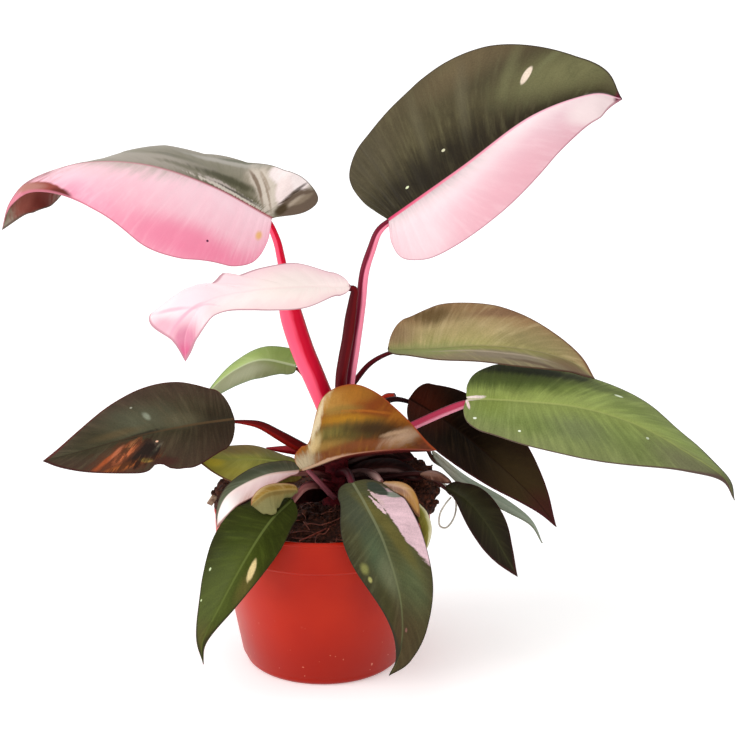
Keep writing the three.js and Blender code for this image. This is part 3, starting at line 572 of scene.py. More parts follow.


# left, right: colours from the midrib to the margin of each half, seen from above looking to the
# tip, the colour of its streaks and their strength, and how much lighter and darker it gets in
# patches. rib: colours of the midrib at the petiole and at the tip, and its strength. vein: strength
# of the side veins. edge: rims of the left and the right margin. marks: what the function marked lays
# on, the lowest first; some are painted shadows and painted highlights, as said where they stand.
LOOKS = {
    "top_right": look(
        left=("#2a2213", "#453e28", "#4e4530", "#59553b", 0.3, 0.32),
        right=("#ead4d6", "#debac1", "#d8a9b2", "#e8d2d4", 0.3, 0.03),
        rib=("#d23a66", "#f0b4c4", 0.9), vein=0.2, edge=("#3a2c25", "#a8707c"), under="#8c4a4e",
        marks=[
            (62, 22, 34, 11, "#d898a4", -8, 0.5, 0.8), (10, 20, 15, 12, "#e2cccf", 0, 0.6, 0.7),
            # Painted highlight: the second mark on the next line, a lighter olive patch towards the tip of
            # the dark half.
            (130, 9, 20, 8, "#ecd9d8", 0, 0.85, 0.35), (120, -17, 30, 11, "#76744e", 0, 0.75, 0.7, 1.4),
            (92, -46, 34, 9, "#64553c", 0, 0.7, 0.7, 1.2), (28, -9, 40, 10, "#1d170d", 0, 0.78, 0.9, 0.6),
            (4, -34, 17, 15, "#47402f", 0, 0.65, 0.7), (96, -30, 14, 2.5, "#7c7b55", -50, 0.35, 0.9, 1.6),
            (120, -30, 14, 1.6, "#83845c", -30, 0.35, 0.9, 1.6),
            (70, -30, 16, 3, "#69634d", -60, 0.35, 0.9, 1.6),
            (40, -34, 16, 3, "#625c46", -75, 0.35, 0.9, 1.6),
            (100.6, -22, 5.2, 1.6, "#ead6c2", -40, 1, 0.2, 0.2), (45, -13.8, 1.1, 0.7, "#c4c0a0"),
            (17.7, -8.7, 1.1, 0.6, "#c9cfa8"), (145, 0, 5, 5, "#5a1028", 0, 1, 0.3),
        ],
    ),
    "top_left": look(
        left=("#f6ced7", "#f2bac7", "#ee9ab0", "#f8d4db", 0.3, 0.03),
        right=("#5c5842", "#8b8572", "#a39b8c", "#6d6a52", 0.4, 0.12),
        rib=("#b02a48", "#d98a9c", 0.5), vein=0.1, edge=("#c0707f", "#5a4a40"), under="#6b4034",
        marks=[
            (38, -34, 38, 9, "#ec7899", 0, 0.7, 0.7, 0.5), (2.6, -12.7, 1.6, 2.4, "#e6b055", 0, 0.8, 0.6),
            (26.8, -29.8, 0.8, 0.7, "#5a2040"), (84, 10, 42, 14, "#b1a79a", 0, 0.85, 0.5, 1.0),
            (108, -5, 22, 4, "#f1c6d0", 4, 0.6, 0.7), (2, 20, 16, 14, "#bdae9c", 0, 0.9, 0.4, 1.0),
            # Painted sheen: the first mark on the next line, a grey-white stripe along the far margin.
            (32, 33, 18, 4, "#b9b3a9", 0, 0.8, 0.5, 0.6), (26, 36, 9, 2, "#5c5f4a", 0, 0.7, 0.6, 0.6),
            (28, 12, 18, 3.4, "#45432a", 3, 0.85, 0.6, 1.6),
            (52, 10, 12, 2.4, "#5f5d42", 3, 0.6, 0.7, 2.2), (60, 22, 14, 2.6, "#5f5f48", 4, 0.5, 0.7, 2.2),
            (27, 2.8, 20, 1.8, "#d2c8ba", 3, 0.95, 0.3, 2.4),
            (32, 5.4, 11, 1.8, "#c0b3aa", 4, 0.9, 0.5, 2.6),
            (22, 3.6, 12, 0.9, "#2d2618", 5, 0.8, 0.5, 2.0),
            (9.5, 17, 16, 5.6, "#d6c9ba", 62, 0.95, 0.35, 0.9),
            (13, 16, 12, 1.0, "#7a6450", 64, 0.85, 0.5, 1.2),
            (7.5, 14, 11, 0.7, "#8a7460", 62, 0.7, 0.6, 1.4),
            (10, 21, 8, 0.7, "#a08c78", 60, 0.7, 0.6, 1.4), (-1, 28, 11, 8, "#f8e9e6", 0, 1, 0.2, 0.4),
            (-0.5, 18, 9, 4.4, "#f3e0dc", 84, 1, 0.25, 0.6),
            (-11, 15, 15, 6.5, "#69584a", 121, 1, 0.15, 0.6),
            (-5.6, 19, 10, 0.8, "#3d2c20", 116, 0.8, 0.6, 1.4),
            (-8, 15, 6, 1.1, "#b5a491", 119, 0.8, 0.6, 1.8),
            (-12, 19, 6, 1.2, "#94836f", 122, 0.7, 0.6, 1.8),
            (-3, 7, 4.5, 2.2, "#43341f", 118, 0.9, 0.4, 0.9),
            (139, 13, 24, 15, "#6b3027", 0, 1, 0.55, 1.2), (146, 6, 12, 4, "#8a4a3e", 0, 0.7, 0.6, 0.8),
            (129, -11, 15, 6.2, "#8a4238", 33, 1, 0.12, 0.2),
            (120, -14.5, 6, 3, "#5c231c", 30, 0.9, 0.4, 0.4),
            (136, -3.6, 9, 2.4, "#a8756a", 24, 0.9, 0.5, 0.5),
        ],
    ),
    "middle_pink": look(
        left=("#feeee8", "#fce8e3", "#f6d6d6", "#f7dcd8", 0.4, 0.02),
        right=("#feece7", "#fbe3e1", "#f4ced3", "#f8dfdb", 0.4, 0.02),
        rib=("#fae2dd", "#f0b4c2", 0.2), vein=0.1, edge=("#b07d88", "#b07d88"), under="#f1b6c4",
        marks=[
            (36, 2, 16, 7, "#f0e2da", 0, 0.6, 0.7), (87, 1, 12, 13, "#d8bfc4", 0, 0.75, 0.8),
            (72, 5, 18, 9, "#efd2d7", 0, 0.75, 0.7), (104, 0, 12, 8, "#c67b92", 0, 1, 0.6, 0.5),
            (113, 0, 7, 5, "#c8507a", 0, 0.8, 0.6), (101, 15, 9, 3.5, "#c88da0", 60, 0.7, 0.7, 0.6),
            (84, 5, 10, 8, "#ecccd2", 0, 0.7, 0.8, 0.8), (92, 12, 9, 0.8, "#dfa3b3", 60, 0.7, 0.7, 0.8),
            (96, 6, 14, 0.8, "#dc97aa", 20, 0.7, 0.7, 0.8), (88, 3, 12, 0.6, "#e4a9b8", 30, 0.6, 0.7, 0.8),
        ],
    ),
    "back_left": look(
        left=("#868967", "#7e8160", "#757956", "#949776", 0.4, 0.08),
        right=("#a6b978", "#98ac62", "#8a9e5c", "#aebb84", 0.4, 0.08),
        rib=("#c6d0a8", "#b0bb94", 0.6), vein=0.15, edge=("#6a7a58", "#6a7a58"), under="#8d9c7d",
        marks=[
            (8, 6, 14, 12, "#7a8e44", 0, 0.7, 0.7), (30, -5, 16, 3, "#989b7e", 0, 0.6, 0.7, 0.8),
        ],
    ),
    "left_dark": look(
        left=("#342f1e", "#3b3022", "#3c2c20", "#4b4330", 0.35, 0.35),
        right=("#3f3d29", "#413a29", "#43352a", "#524c38", 0.35, 0.35),
        rib=("#5f4a30", "#2f2416", 0.7), vein=0.25, edge=("#3a1512", "#551f1c"), under="#5a2a2a",
        marks=[
            (52, 9, 18, 8, "#4d4e3b", 0, 0.8, 0.7, 1.0), (76, 5, 14, 8, "#332e1b", 0, 0.75, 0.8, 0.8),
            (8, -3, 14, 13, "#271d12", 0, 0.75, 0.7, 0.6), (28, 4, 9, 4, "#5c5640", 10, 0.6, 0.8, 1.2),
            (62, 4, 12, 2, "#5a4a2e", 0, 0.6, 0.8, 1.0), (50, 0.2, 10, 1.2, "#1e150c", -4, 0.8, 0.6, 0.8),
            (45.5, 10.3, 2.4, 1.4, "#8a907c", 60, 0.8, 0.7, 0.8),
            (52.5, 17.5, 0.7, 0.5, "#a2a491", 0, 0.8), (62, -13, 17, 8.5, "#5a2c17", -6, 0.9, 0.5, 1.6),
            (50, -10, 8, 3.5, "#47413a", -20, 0.8, 0.6, 2.0),
            (60, -9.5, 9, 3.2, "#b8643c", -34, 0.95, 0.45, 2.2),
            (57, -5.5, 6, 1.2, "#8a5a36", -34, 0.8, 0.6, 1.4),
            (63, -17.5, 15, 2.2, "#8f4d22", -6, 0.9, 0.5, 1.8),
            (66, -8, 5, 1.0, "#c87a58", -36, 0.7, 0.6, 1.6),
            (51, -16.6, 3.5, 1.4, "#a98a44", 20, 0.9, 0.5, 1.2),
            (45, -12, 5, 1.0, "#6d6a58", -40, 0.8, 0.6, 1.6), (43, -6.4, 0.8, 0.6, "#dcae90"),
            (41, -20, 7, 2.4, "#3f2019", 10, 0.8, 0.6, 1.0),
            (57, -13, 13, 6, "#24160e", -30, 0.75, 0.3, 4.5),
            (50, -14, 8, 4, "#1a110c", -30, 0.7, 0.3, 4.5),
            (72, -11, 8, 1.4, "#9a4a24", -30, 0.8, 0.6, 2.0),
        ],
    ),
    "left_yellow": look(
        left=("#9c9c44", "#9c9744", "#8c8338", "#b4ac54", 0.4, 0.15),
        right=("#a1a348", "#9f9c48", "#877a42", "#b0a854", 0.4, 0.15),
        rib=("#a0a650", "#959c48", 0.7), vein=0.2, edge=("#5b2f26", "#5b2f26"), under="#7b6a3c",
        marks=[
            (45, -4, 5.5, 3.5, "#c9b83a", 0, 0.9, 0.6, 1.2), (30, 8, 16, 4, "#6f4a34", 0, 0.5, 0.7),
            (38, -9, 10, 3, "#a39a3c", 0, 0.7, 0.7, 1.2), (12, 2, 12, 8, "#5c5f30", 0, 0.7, 0.8, 0.8),
        ],
    ),
    "left_half_moon": look(
        left=("#e6cfca", "#e0c0bf", "#d0a49c", "#ecdad5", 0.4, 0.03),
        right=("#5a5e48", "#505540", "#504e38", "#6c7060", 0.4, 0.15),
        rib=("#e2baab", "#e8d6cf", 0.8), vein=0.12, edge=("#7a4a3c", "#3a3228"), under="#9a6a62",
        marks=[
            (50, -4.5, 13, 4, "#e4dad6", 0, 0.9, 0.5), (20, 5, 16, 2.5, "#39402f", 0, 0.7, 0.7, 0.8),
        ],
    ),
    "front_left": look(
        left=("#31390d", "#30380d", "#2e320e", "#414b19", 0.35, 0.38),
        right=("#343c10", "#2f370e", "#282a0e", "#424c1a", 0.35, 0.38),
        rib=("#606a36", "#5c6630", 0.6), vein=0.15, edge=("#2c2a1a", "#2f2f1e"), under="#7b4a44",
        shine=0.03,
        marks=[
            (14, 4, 17, 20, "#2a2e0e", 0, 0.7, 0.8, 0.9), (46, 0, 12, 8, "#3e4616", 0, 0.6, 0.8, 1.4),
            (76, 4, 25, 15, "#485023", 0, 0.8, 0.8, 0.9), (99, 1, 14, 8, "#4c4722", 0, 0.8, 0.6),
            (56, -7, 9, 3, "#5c5228", 0, 0.7, 0.8, 1.2),
            (46, -5.7, 6.6, 1.5, "#d3bc86", -8, 0.95, 0.3, 1.0), (59.2, 17, 1, 0.6, "#b9c59a"),
            (75.9, 12.3, 0.7, 0.5, "#b0bc8c"),
        ],
    ),
    "front_right": look(
        left=("#4c4e30", "#514f2f", "#49442a", "#5e5d3c", 0.35, 0.34),
        right=("#484b33", "#403f27", "#33301d", "#55573c", 0.35, 0.34),
        rib=("#7f8264", "#666a46", 0.6), vein=0.16, edge=("#33301f", "#2c2b22"), under="#7b4a44",
        shine=0.05,
        marks=[
            (46, 6, 14, 5, "#41503a", 0, 0.6, 0.8, 1.2), (70, -9, 14, 7, "#566040", 0, 0.7, 0.8, 1.0),
            (18, 7, 16, 6, "#3a3f31", 0, 0.7, 0.8, 1.0), (60, 3, 10, 4, "#62654a", 0, 0.7, 0.8, 1.2),
            (38, -6.5, 26, 3.2, "#6a6130", -16, 0.7, 0.6, 1.0),
            (34, -20.5, 32, 10.5, "#e0bdc4", -13, 1, 0.05, 0.4),
            (15, -8, 8, 1.6, "#dcbcbd", -12, 1, 0.1, 1.4), (22, -6.2, 8, 1.1, "#e2c2c6", -14, 1, 0.1, 1.6),
            (12, -19, 5, 4.6, "#8c9486", 20, 1, 0.2, 0.5), (6, -12, 7, 5.4, "#3b4436", -20, 1, 0.15, 0.5),
            (53, 14.5, 3, 1.8, "#84844a", 0, 0.7, 0.7, 1.2), (60, 13.5, 1.7, 1, "#a3a060", 0, 0.8, 0.5),
            (91, -2, 1.2, 0.6, "#c98a80"), (98, 0, 22, 12, "#453322", 0, 0.7, 0.7),
            (82, 8, 16, 4, "#38361c", 0, 0.7, 0.7, 0.8),
        ],
    ),
    "right_small": look(
        left=("#2b2a17", "#262112", "#1e150e", "#36331e", 0.35, 0.25),
        right=("#2b2a17", "#252012", "#1f150e", "#36331e", 0.35, 0.25),
        rib=("#343320", "#3c3a22", 0.5), vein=0.1, edge=("#3a1a18", "#3a1a18"), under="#5a2a2a", shine=0.08,
    ),
    "right_dark": look(
        left=("#120904", "#140b05", "#1f110b", "#2e2217", 0.3, 0.25),
        right=("#120b05", "#170f08", "#23140e", "#35271a", 0.4, 0.25),
        rib=("#0d0704", "#2c1a12", 0.6), vein=0.2, edge=("#4a2024", "#4a2024"), under="#571f28", shine=0.02,
        marks=[
            (86, 0, 24, 18, "#4a3a24", 0, 0.75, 0.8, 1.2), (102, 0, 12, 8, "#4a2220", 0, 0.7, 0.7),
            (8, 0, 14, 14, "#481c12", 0, 0.7, 0.8),
        ],
    ),
    "right_green": look(
        left=("#909d53", "#88974e", "#76824a", "#9aa85c", 0.28, 0.28),
        right=("#7f8b4a", "#768448", "#777e4e", "#8b9656", 0.28, 0.3),
        rib=("#a9b068", "#949c58", 0.6), vein=0.15, edge=("#3a3426", "#57403e"), under="#7f8a5a",
        marks=[
            # Painted shadow: the next two marks, a dark band and a near-black strip along the upper margin
            # near the base, stand for the olive leaf's shadow.
            (22, -20, 38, 10, "#53632b", 0, 0.85, 0.6, 1.0),
            (26, -29, 36, 4.5, "#1f2510", 0, 0.9, 0.6, 0.6), (70, -24, 14, 4, "#3d4722", 0, 0.6, 0.7, 1.0),
            (62, 14, 18, 7, "#6c7250", 0, 0.6, 0.8, 1.6), (88, -12, 14, 5, "#65733a", 0, 0.5, 0.8, 1.8),
            (96, 12, 20, 6, "#6a7640", 0, 0.5, 0.8, 1.8), (36, 16, 12, 5, "#66743a", 0, 0.5, 0.8, 1.8),
            (3, -0.5, 7, 1.8, "#f7e3df", -12, 1, 0.2, 0.6), (1, 4, 4, 0.8, "#f0d8d2", 70, 1, 0.3, 0.6),
            (6, 14, 1, 0.7, "#e6ecd8"), (30.5, 20, 0.8, 0.6, "#dfe8cf"),
            (80, -21, 2.2, 0.8, "#dbe5c8", 0, 1, 0.3), (100, 5, 0.9, 0.6, "#d5e0c2"),
            (132, 6, 26, 8, "#6b6750", 0, 0.7, 0.7, 0.8), (157, 0, 13, 9, "#45412f", 0, 0.8, 0.7),
            (14, 4, 8, 7, "#75843c", 0, 0.6, 0.8, 1.0),
        ],
    ),
    "right_olive": look(
        left=("#a9a166", "#b4a071", "#997954", "#bdae84", 0.35, 0.26),
        right=("#949254", "#8c855a", "#7d7058", "#a2976c", 0.4, 0.12),
        rib=("#a3a268", "#958868", 0.5), vein=0.12, edge=("#6a4432", "#4c3026"), under="#8a5a4a",
        marks=[
            (24, -21, 12, 5.5, "#5c4728", -4, 0.8, 0.7, 1.4), (5, -8, 9, 7, "#7a5c44", 0, 0.6, 0.7),
            (62, -22, 16, 3, "#86644c", -6, 0.7, 0.6, 1.2), (82, -6, 20, 8, "#867c52", -4, 0.7, 0.7, 1.2),
            (20, 3, 24, 5, "#87925a", 0, 0.7, 0.7, 1.0), (63, 9, 25, 4, "#857868", 0, 0.8, 0.6, 1.0),
            (46, 6, 20, 0.8, "#a89a84", 4, 0.8, 0.6, 1.2), (70, 7, 20, 0.7, "#a59782", 0, 0.8, 0.6, 1.2),
            # Painted shadow: the first mark on the next line, a dark patch near the tip.
            (101, 4, 13, 5, "#6a4a38", 0, 0.6, 0.7), (84, 12, 18, 1.2, "#5a4638", 0, 0.7, 0.7, 0.8),
        ],
    ),
    "centre_orange": look(
        left=("#653410", "#55320c", "#834609", "#8a5f1e", 0.3, 0.22),
        right=("#6a2a20", "#3c0c0e", "#2a0709", "#7a2e28", 0.3, 0.15),
        rib=("#b8977a", "#7a3a2a", 0.9), vein=0.0, edge=("#8f3c1a", "#5a1a18"), under="#6b2a22",
        marks=[
            (43, -26, 17, 9, "#6e3004", -32, 0.9, 0.7, 1.6), (24, -31, 8, 6, "#a8803e", 10, 0.9, 0.7, 1.0),
            (34, -32, 10, 5, "#8e5a16", 0, 0.85, 0.7, 1.0),
            (28, -25.5, 9, 2.2, "#7d6226", 10, 0.7, 0.7, 1.0),
            (30, -19.5, 15, 2.8, "#9a6a12", 12, 0.95, 0.8, 1.4),
            (24, -14, 17, 4.0, "#665d28", 6, 0.9, 0.8, 1.2),
            (41, -12, 16, 4.8, "#301b02", 6, 0.92, 0.9, 1.2),
            (20, -10, 13, 3, "#4e4418", 4, 0.7, 0.8, 2.2),
            (16, -8.5, 10, 2.6, "#84642c", 5, 0.8, 0.7, 1.8),
            (38, -4.5, 16, 2.0, "#6d3a18", 2, 0.8, 0.7, 1.0),
            (15, -25.5, 15, 1.8, "#cdbd9a", -62, 0.85, 0.8, 3.6),
            (40, -22, 12, 0.8, "#a05a14", 12, 0.6, 0.7, 2.4),
            (10, -11, 6, 2.6, "#b9a070", -50, 0.8, 0.7, 1.0), (1, -4, 8, 5, "#9a8a6e", 0, 1, 0.6, 1.4),
            (56, -6.5, 9, 3.2, "#a88a70", -20, 0.85, 0.9, 2.0),
            (53, -9, 6, 1.0, "#a8886a", -10, 0.7, 0.7, 2.4), (69, -2.5, 6, 5, "#5a2818", 0, 0.85, 0.7),
            (13, 0.5, 12, 1.4, "#c2a184", -3, 0.9, 0.5, 1.0),
        ],
    ),
    "back_right": look(
        left=("#939f8a", "#8b977f", "#7f8b72", "#a5b09a", 0.4, 0.1),
        right=("#979f84", "#929c84", "#86907a", "#a8b29e", 0.4, 0.1),
        rib=("#b4bca4", "#97a188", 0.6), vein=0.15, edge=("#6b6f5a", "#6b6f5a"), under="#8b9480",
        marks=[
            (8, 0, 14, 8, "#b0a68c", 0, 0.8, 0.7),
        ],
    ),
    "bract_pale": look(
        left=("#84703e", "#7a6c3c", "#67653c", "#90855a", 0.4, 0.2),
        right=("#8c6c28", "#84662a", "#b0966a", "#a89062", 0.4, 0.16),
        rib=("#a88a50", "#8f7a44", 0.7), vein=0.15, edge=("#5f5a34", "#8a5a3c"), under="#8f7c50",
        marks=[
            (23, -6, 9, 5, "#757048", 0, 0.8, 0.6, 1.4), (16, -1.5, 13, 1.2, "#6e5a2c", 0, 0.8, 0.6, 1.0),
        ],
    ),
    "sheath_tan": look(
        left=("#c2a080", "#bd9466", "#b5853e", "#d9bd9c", 0.4, 0.14),
        right=("#b9998a", "#ab8468", "#9c6c44", "#d2b8a8", 0.5, 0.14),
        rib=("#c9a894", "#b98a58", 0.7), vein=0.2, edge=("#8a5a3a", "#6a4430"), under="#a98468",
        marks=[
            (26, 0, 9, 5, "#b4823a", 0, 0.8, 0.7, 1.0), (12, 1.5, 8, 1.2, "#8a624c", 0, 0.7, 0.7, 1.4),
        ],
    ),
    "sheath_olive": look(
        left=("#8f8a44", "#c9c290", "#e6dfc0", "#d6cfa8", 0.4, 0.1),
        right=("#837d34", "#6f6620", "#5f5418", "#958c40", 0.4, 0.14),
        rib=("#8f8838", "#857c30", 0.5), vein=0.1, edge=("#b4ad84", "#4f4718"), under="#8f864a",
    ),
    "sheath_brown": look(
        left=("#7a5040", "#5e3a2c", "#4a2a20", "#a8806c", 0.5, 0.18),
        right=("#6c4636", "#5a3628", "#47271e", "#a8806c", 0.5, 0.18),
        rib=("#94705c", "#7a5040", 0.7), vein=0.2, edge=("#3a1f18", "#3a1f18"), under="#5f3c30",
        marks=[
            # Painted highlight: this pinkish mark near the base stands for the sheath's tan-pink highlight.
            (6, -1, 5, 2, "#9b7b70", 0, 0.7, 0.6, 1.2),
        ],
    ),
    "withered": look(
        left=("#180605", "#150504", "#0e0303", "#331714", 0.4, 0.3),
        right=("#1e0907", "#180605", "#100404", "#402220", 0.4, 0.3),
        rib=("#3a1a16", "#2a100c", 0.6), vein=0.2, edge=("#2a0a0a", "#3a1412"), under="#2a100d", shine=0.05,
        marks=[
            (24, 2, 14, 1.0, "#6e5450", 0, 0.7, 0.6, 1.6),
        ],
    ),
}


def marked(add, colour, flat, ragged, along, across, long, wide, tint, turn=0, amount=1.0, soft=0.2,
           rough=0.3):
    """The colour with an oval mark laid over it: its middle and half sizes in millimetres along and
    across the midrib, and its turn in degrees. The ragged noise breaks up its rim."""
    inside = add("Mapping", {"Vector": flat, "Location": (along, across, 0), "Scale": (long, wide, 1),
                             "Rotation": (0, 0, math.radians(turn))}, vector_type="TEXTURE")
    away = add("VectorMath", (inside,), out="Value", operation="LENGTH")
    away = add("Math", (ragged, rough, away), operation="MULTIPLY_ADD")
    share = add("MapRange", (away, 1 + soft, 1 - soft, 0.0, amount), **SMOOTH)
    return add("Mix", {0: share, 6: colour, 7: tint}, **COLOURS)


def leaf_upper(name, looks, leaf, veins):
    """Upper side of a living leaf: waxy, so softly glossy, its pigment drawn out along the veins."""
    material, add, shader = new_material(f"waxy_leaf_skin_{name}", Specular_IOR_Level=looks["shine"])
    length, wide = Midrib(leaf).length, max(widest(leaf["left"]), widest(leaf["right"]))
    vein = add("Attribute", out="Vector", attribute_name="vein_place")
    place = add("Attribute", out="Vector", attribute_name="leaf_place")
    t, v, share = add("SeparateXYZ", (vein,), out=None).outputs
    along, across, from_edge = add("SeparateXYZ", (place,), out=None).outputs
    flat = add("CombineXYZ", (along, across))
    out = add("Math", (v,), operation="ABSOLUTE")

    # Streaks that follow the side veins, blotches, and fine grain.
    drawn = add("Mapping", {"Vector": vein, "Scale": (length / STREAK["wide"], wide / STREAK["long"], 0)})
    streaks = add("TexNoise", {"Vector": drawn, "Scale": 1.0, "Detail": 4.0, "Roughness": 0.6})
    blotches = add("TexNoise", {"Vector": flat, "Scale": 1 / BLOTCH, "Detail": 5.0, "Roughness": 0.68})
    grain = add("TexNoise", {"Vector": flat, "Scale": 1 / GRAIN, "Detail": 3.0, "Roughness": 0.6})

    # Place among a half's colours: how far out a point lies, made uneven by the noises, whose mean is
    # taken off again.
    spread = add("Math", (streaks, 0.35, out), operation="MULTIPLY_ADD")
    spread = add("Math", (blotches, 0.5, spread), operation="MULTIPLY_ADD")
    spread = add("Math", (spread, 0.42), operation="SUBTRACT")
    on_right = add("MapRange", (v, -0.004, 0.004), **SMOOTH)

    # Side veins, fading to the margin.
    line = add("Math", (t, float(veins), 0.5), operation="MULTIPLY_ADD")
    line = add("Math", (line,), operation="FRACT")
    line = add("Math", (line, 0.5), operation="SUBTRACT")
    line = add("Math", (line,), operation="ABSOLUTE")
    on_vein = add("MapRange", (line, 0.09, 0.02, 0.0, looks["vein"]), **SMOOTH)
    inward = add("MapRange", (out, 1.0, 0.4), **SMOOTH)
    on_vein = add("Math", (on_vein, inward), operation="MULTIPLY")

    # The two halves, each with its streaks and its side veins.
    halves = []
    for side in ("left", "right"):
        base = add("ValToRGB", (spread,), stops=list(zip((0.08, 0.5, 0.95), looks[side])))
        amount = add("MapRange", (streaks, 0.45, 0.68, 0.0, looks[side][4]), **SMOOTH)
        amount = add("Math", (amount, on_vein), operation="MAXIMUM")
        halves.append(add("Mix", {0: amount, 6: base, 7: looks[side][3]}, **COLOURS))
    colour = add("Mix", {0: on_right, 6: halves[0], 7: halves[1]}, **COLOURS)

    # The marks, with rims broken up by noise round zero.
    ragged = add("Math", (blotches, 0.7, streaks), operation="MULTIPLY_ADD")
    ragged = add("Math", (ragged, 0.85), operation="SUBTRACT")
    for values in looks["marks"]:
        colour = marked(add, colour, flat, ragged, *values)

    # Lighter and darker patches, then the midrib and the thin rim of the margin.
    swing = add("MapRange", (on_right, 0.0, 1.0, 2 * looks["left"][5], 2 * looks["right"][5]))
    speckled = add("Math", (grain, 0.9, ragged), operation="MULTIPLY_ADD")
    speckled = add("Math", (speckled, 0.45), operation="SUBTRACT")
    shade = add("Math", (speckled, swing, 1.0), operation="MULTIPLY_ADD")
    patchy = add("HueSaturation", {"Value": shade, "Color": colour})
    rib_colour = add("ValToRGB", (share,), stops=list(zip((0.0, 0.7), looks["rib"])))
    from_rib = add("Math", (across,), operation="ABSOLUTE")
    from_rib = add("Math", (share, 0.55, from_rib), operation="MULTIPLY_ADD")
    on_rib = add("MapRange", (from_rib, 1.05, 0.6, 0.0, looks["rib"][2]), **SMOOTH)
    ribbed = add("Mix", {0: on_rib, 6: patchy, 7: rib_colour}, **COLOURS)
    rim = add("Mix", {0: on_right, 6: looks["edge"][0], 7: looks["edge"][1]}, **COLOURS)
    on_edge = add("MapRange", (from_edge, 0.7, 0.2, 0.0, 0.85), **SMOOTH)
    rimmed = add("Mix", {0: on_edge, 6: ribbed, 7: rim}, **COLOURS)

    gloss = add("MapRange", (blotches, 0.3, 0.7, 0.36, 0.5))
    height = add("Math", (grain, 0.4, streaks), operation="MULTIPLY_ADD")
    skin = add("Bump", {"Height": height, "Strength": 0.25, "Distance": 0.25 * MM}, out="Normal")
    feed(shader, Base_Color=rimmed, Roughness=gloss, Normal=skin)
    return material


def leaf_under(name, looks):
    """Lower side of a living leaf: duller than the upper one, mottled."""
    material, add, shader = new_material(f"dull_leaf_back_{name}", Roughness=0.55, Specular_IOR_Level=0.25)
    place = add("Attribute", out="Vector", attribute_name="leaf_place")
    blotches = add("TexNoise", {"Vector": place, "Scale": 1 / 9, "Detail": 3.0, "Roughness": 0.6})
    grain = add("TexNoise", {"Vector": place, "Scale": 1.0, "Detail": 2.0})
    darker = tuple(0.62 * value for value in linear(looks["under"])[:3]) + (1,)
    amount = add("MapRange", (blotches, 0.35, 0.7), **SMOOTH)
    colour = add("Mix", {0: amount, 6: darker, 7: looks["under"]}, **COLOURS)
    skin = add("Bump", {"Height": grain, "Strength": 0.3, "Distance": 0.2 * MM}, out="Normal")
    feed(shader, Base_Color=colour, Normal=skin)
    return material


def stalk_skin(name, left, right, edge, foot, reach, keel=None, blade_at=0.0):
    """Smooth fleshy stalk: moist and glossy, finely ribbed lengthwise, a colour to each side and another
    over its foot, which reaches so many millimetres. Where it turns away from the front it takes the edge
    colour, as painted shade. Its keel has the colour of the blade's underside."""
    material, add, shader = new_material(f"fleshy_stalk_skin_{name}", Roughness=0.36,
                                         Specular_IOR_Level=0.07)
    place = add("Attribute", out="Vector", attribute_name="stalk_place")
    along, sideways, forwards = add("SeparateXYZ", (place,), out=None).outputs
    drawn = add("Mapping", {"Vector": place, "Scale": (1 / 25, 2.0, 2.0)})
    fibres = add("TexNoise", {"Vector": drawn, "Scale": 1.0, "Detail": 2.0})
    turned_to = add("Math", (fibres, 0.7, sideways), operation="MULTIPLY_ADD")
    turned_to = add("Math", (turned_to, 0.4), operation="SUBTRACT")
    to_right = add("MapRange", (turned_to, -0.2, 0.2), **SMOOTH)
    colour = add("Mix", {0: to_right, 6: left, 7: right}, **COLOURS)
    # Painted shade: where the stalk turns away from the front it takes the edge colour.
    shade_away_from_front = add("MapRange", (forwards, 0.5, 0.05), **SMOOTH)
    side_shaded = add("Mix", {0: shade_away_from_front, 6: colour, 7: edge}, **COLOURS)
    to_foot = add("MapRange", (along, reach, 0.35 * reach, 0.0, 0.9), **SMOOTH)
    footed = add("Mix", {0: to_foot, 6: side_shaded, 7: foot}, **COLOURS)
    if keel:
        on_keel = add("MapRange", (along, blade_at, blade_at + 15.0), **SMOOTH)
        footed = add("Mix", {0: on_keel, 6: footed, 7: keel}, **COLOURS)
    skin = add("Bump", {"Height": fibres, "Strength": 0.3, "Distance": 0.3 * MM}, out="Normal")
    feed(shader, Base_Color=footed, Normal=skin)
    return material


def on_piece(add):
    """Place on the piece in millimetres."""
    coordinates = add("TexCoord", out="Object")
    return add("Mapping", {"Vector": coordinates, "Scale": (1 / MM, 1 / MM, 1 / MM)})


def stem_bark():
    """Corky skin of the old stem, red-brown and dull."""
    material, add, shader = new_material("corky_stem_skin", Roughness=0.65, Specular_IOR_Level=0.1)
    grain = add("TexNoise", {"Vector": on_piece(add), "Scale": 1 / 3, "Detail": 4.0, "Roughness": 0.65})
    colour = add("ValToRGB", (grain,), stops=[(0.35, "#36090f"), (0.55, "#5a121a"), (0.75, "#742a2a")])
    skin = add("Bump", {"Height": grain, "Strength": 0.5, "Distance": 1.0 * MM}, out="Normal")
    feed(shader, Base_Color=colour, Normal=skin)
    return material


def dry_root(name, light, dark):
    """Dry root: matt, paler where it is worn."""
    material, add, shader = new_material(name, Roughness=0.7)
    grain = add("TexNoise", {"Vector": on_piece(add), "Scale": 1 / 3, "Detail": 3.0})
    colour = add("ValToRGB", (grain,), stops=[(0.35, dark), (0.65, light)])
    feed(shader, Base_Color=colour)
    return material


def floor_paper():
    """Matt white paper."""
    material, _, _ = new_material("matt_white_paper", Base_Color=linear("#f9f9f9"), Roughness=0.9,
                                  Specular_IOR_Level=0.1, Emission_Color=(1, 1, 1, 1),
                                  Emission_Strength=0.31)
    return material


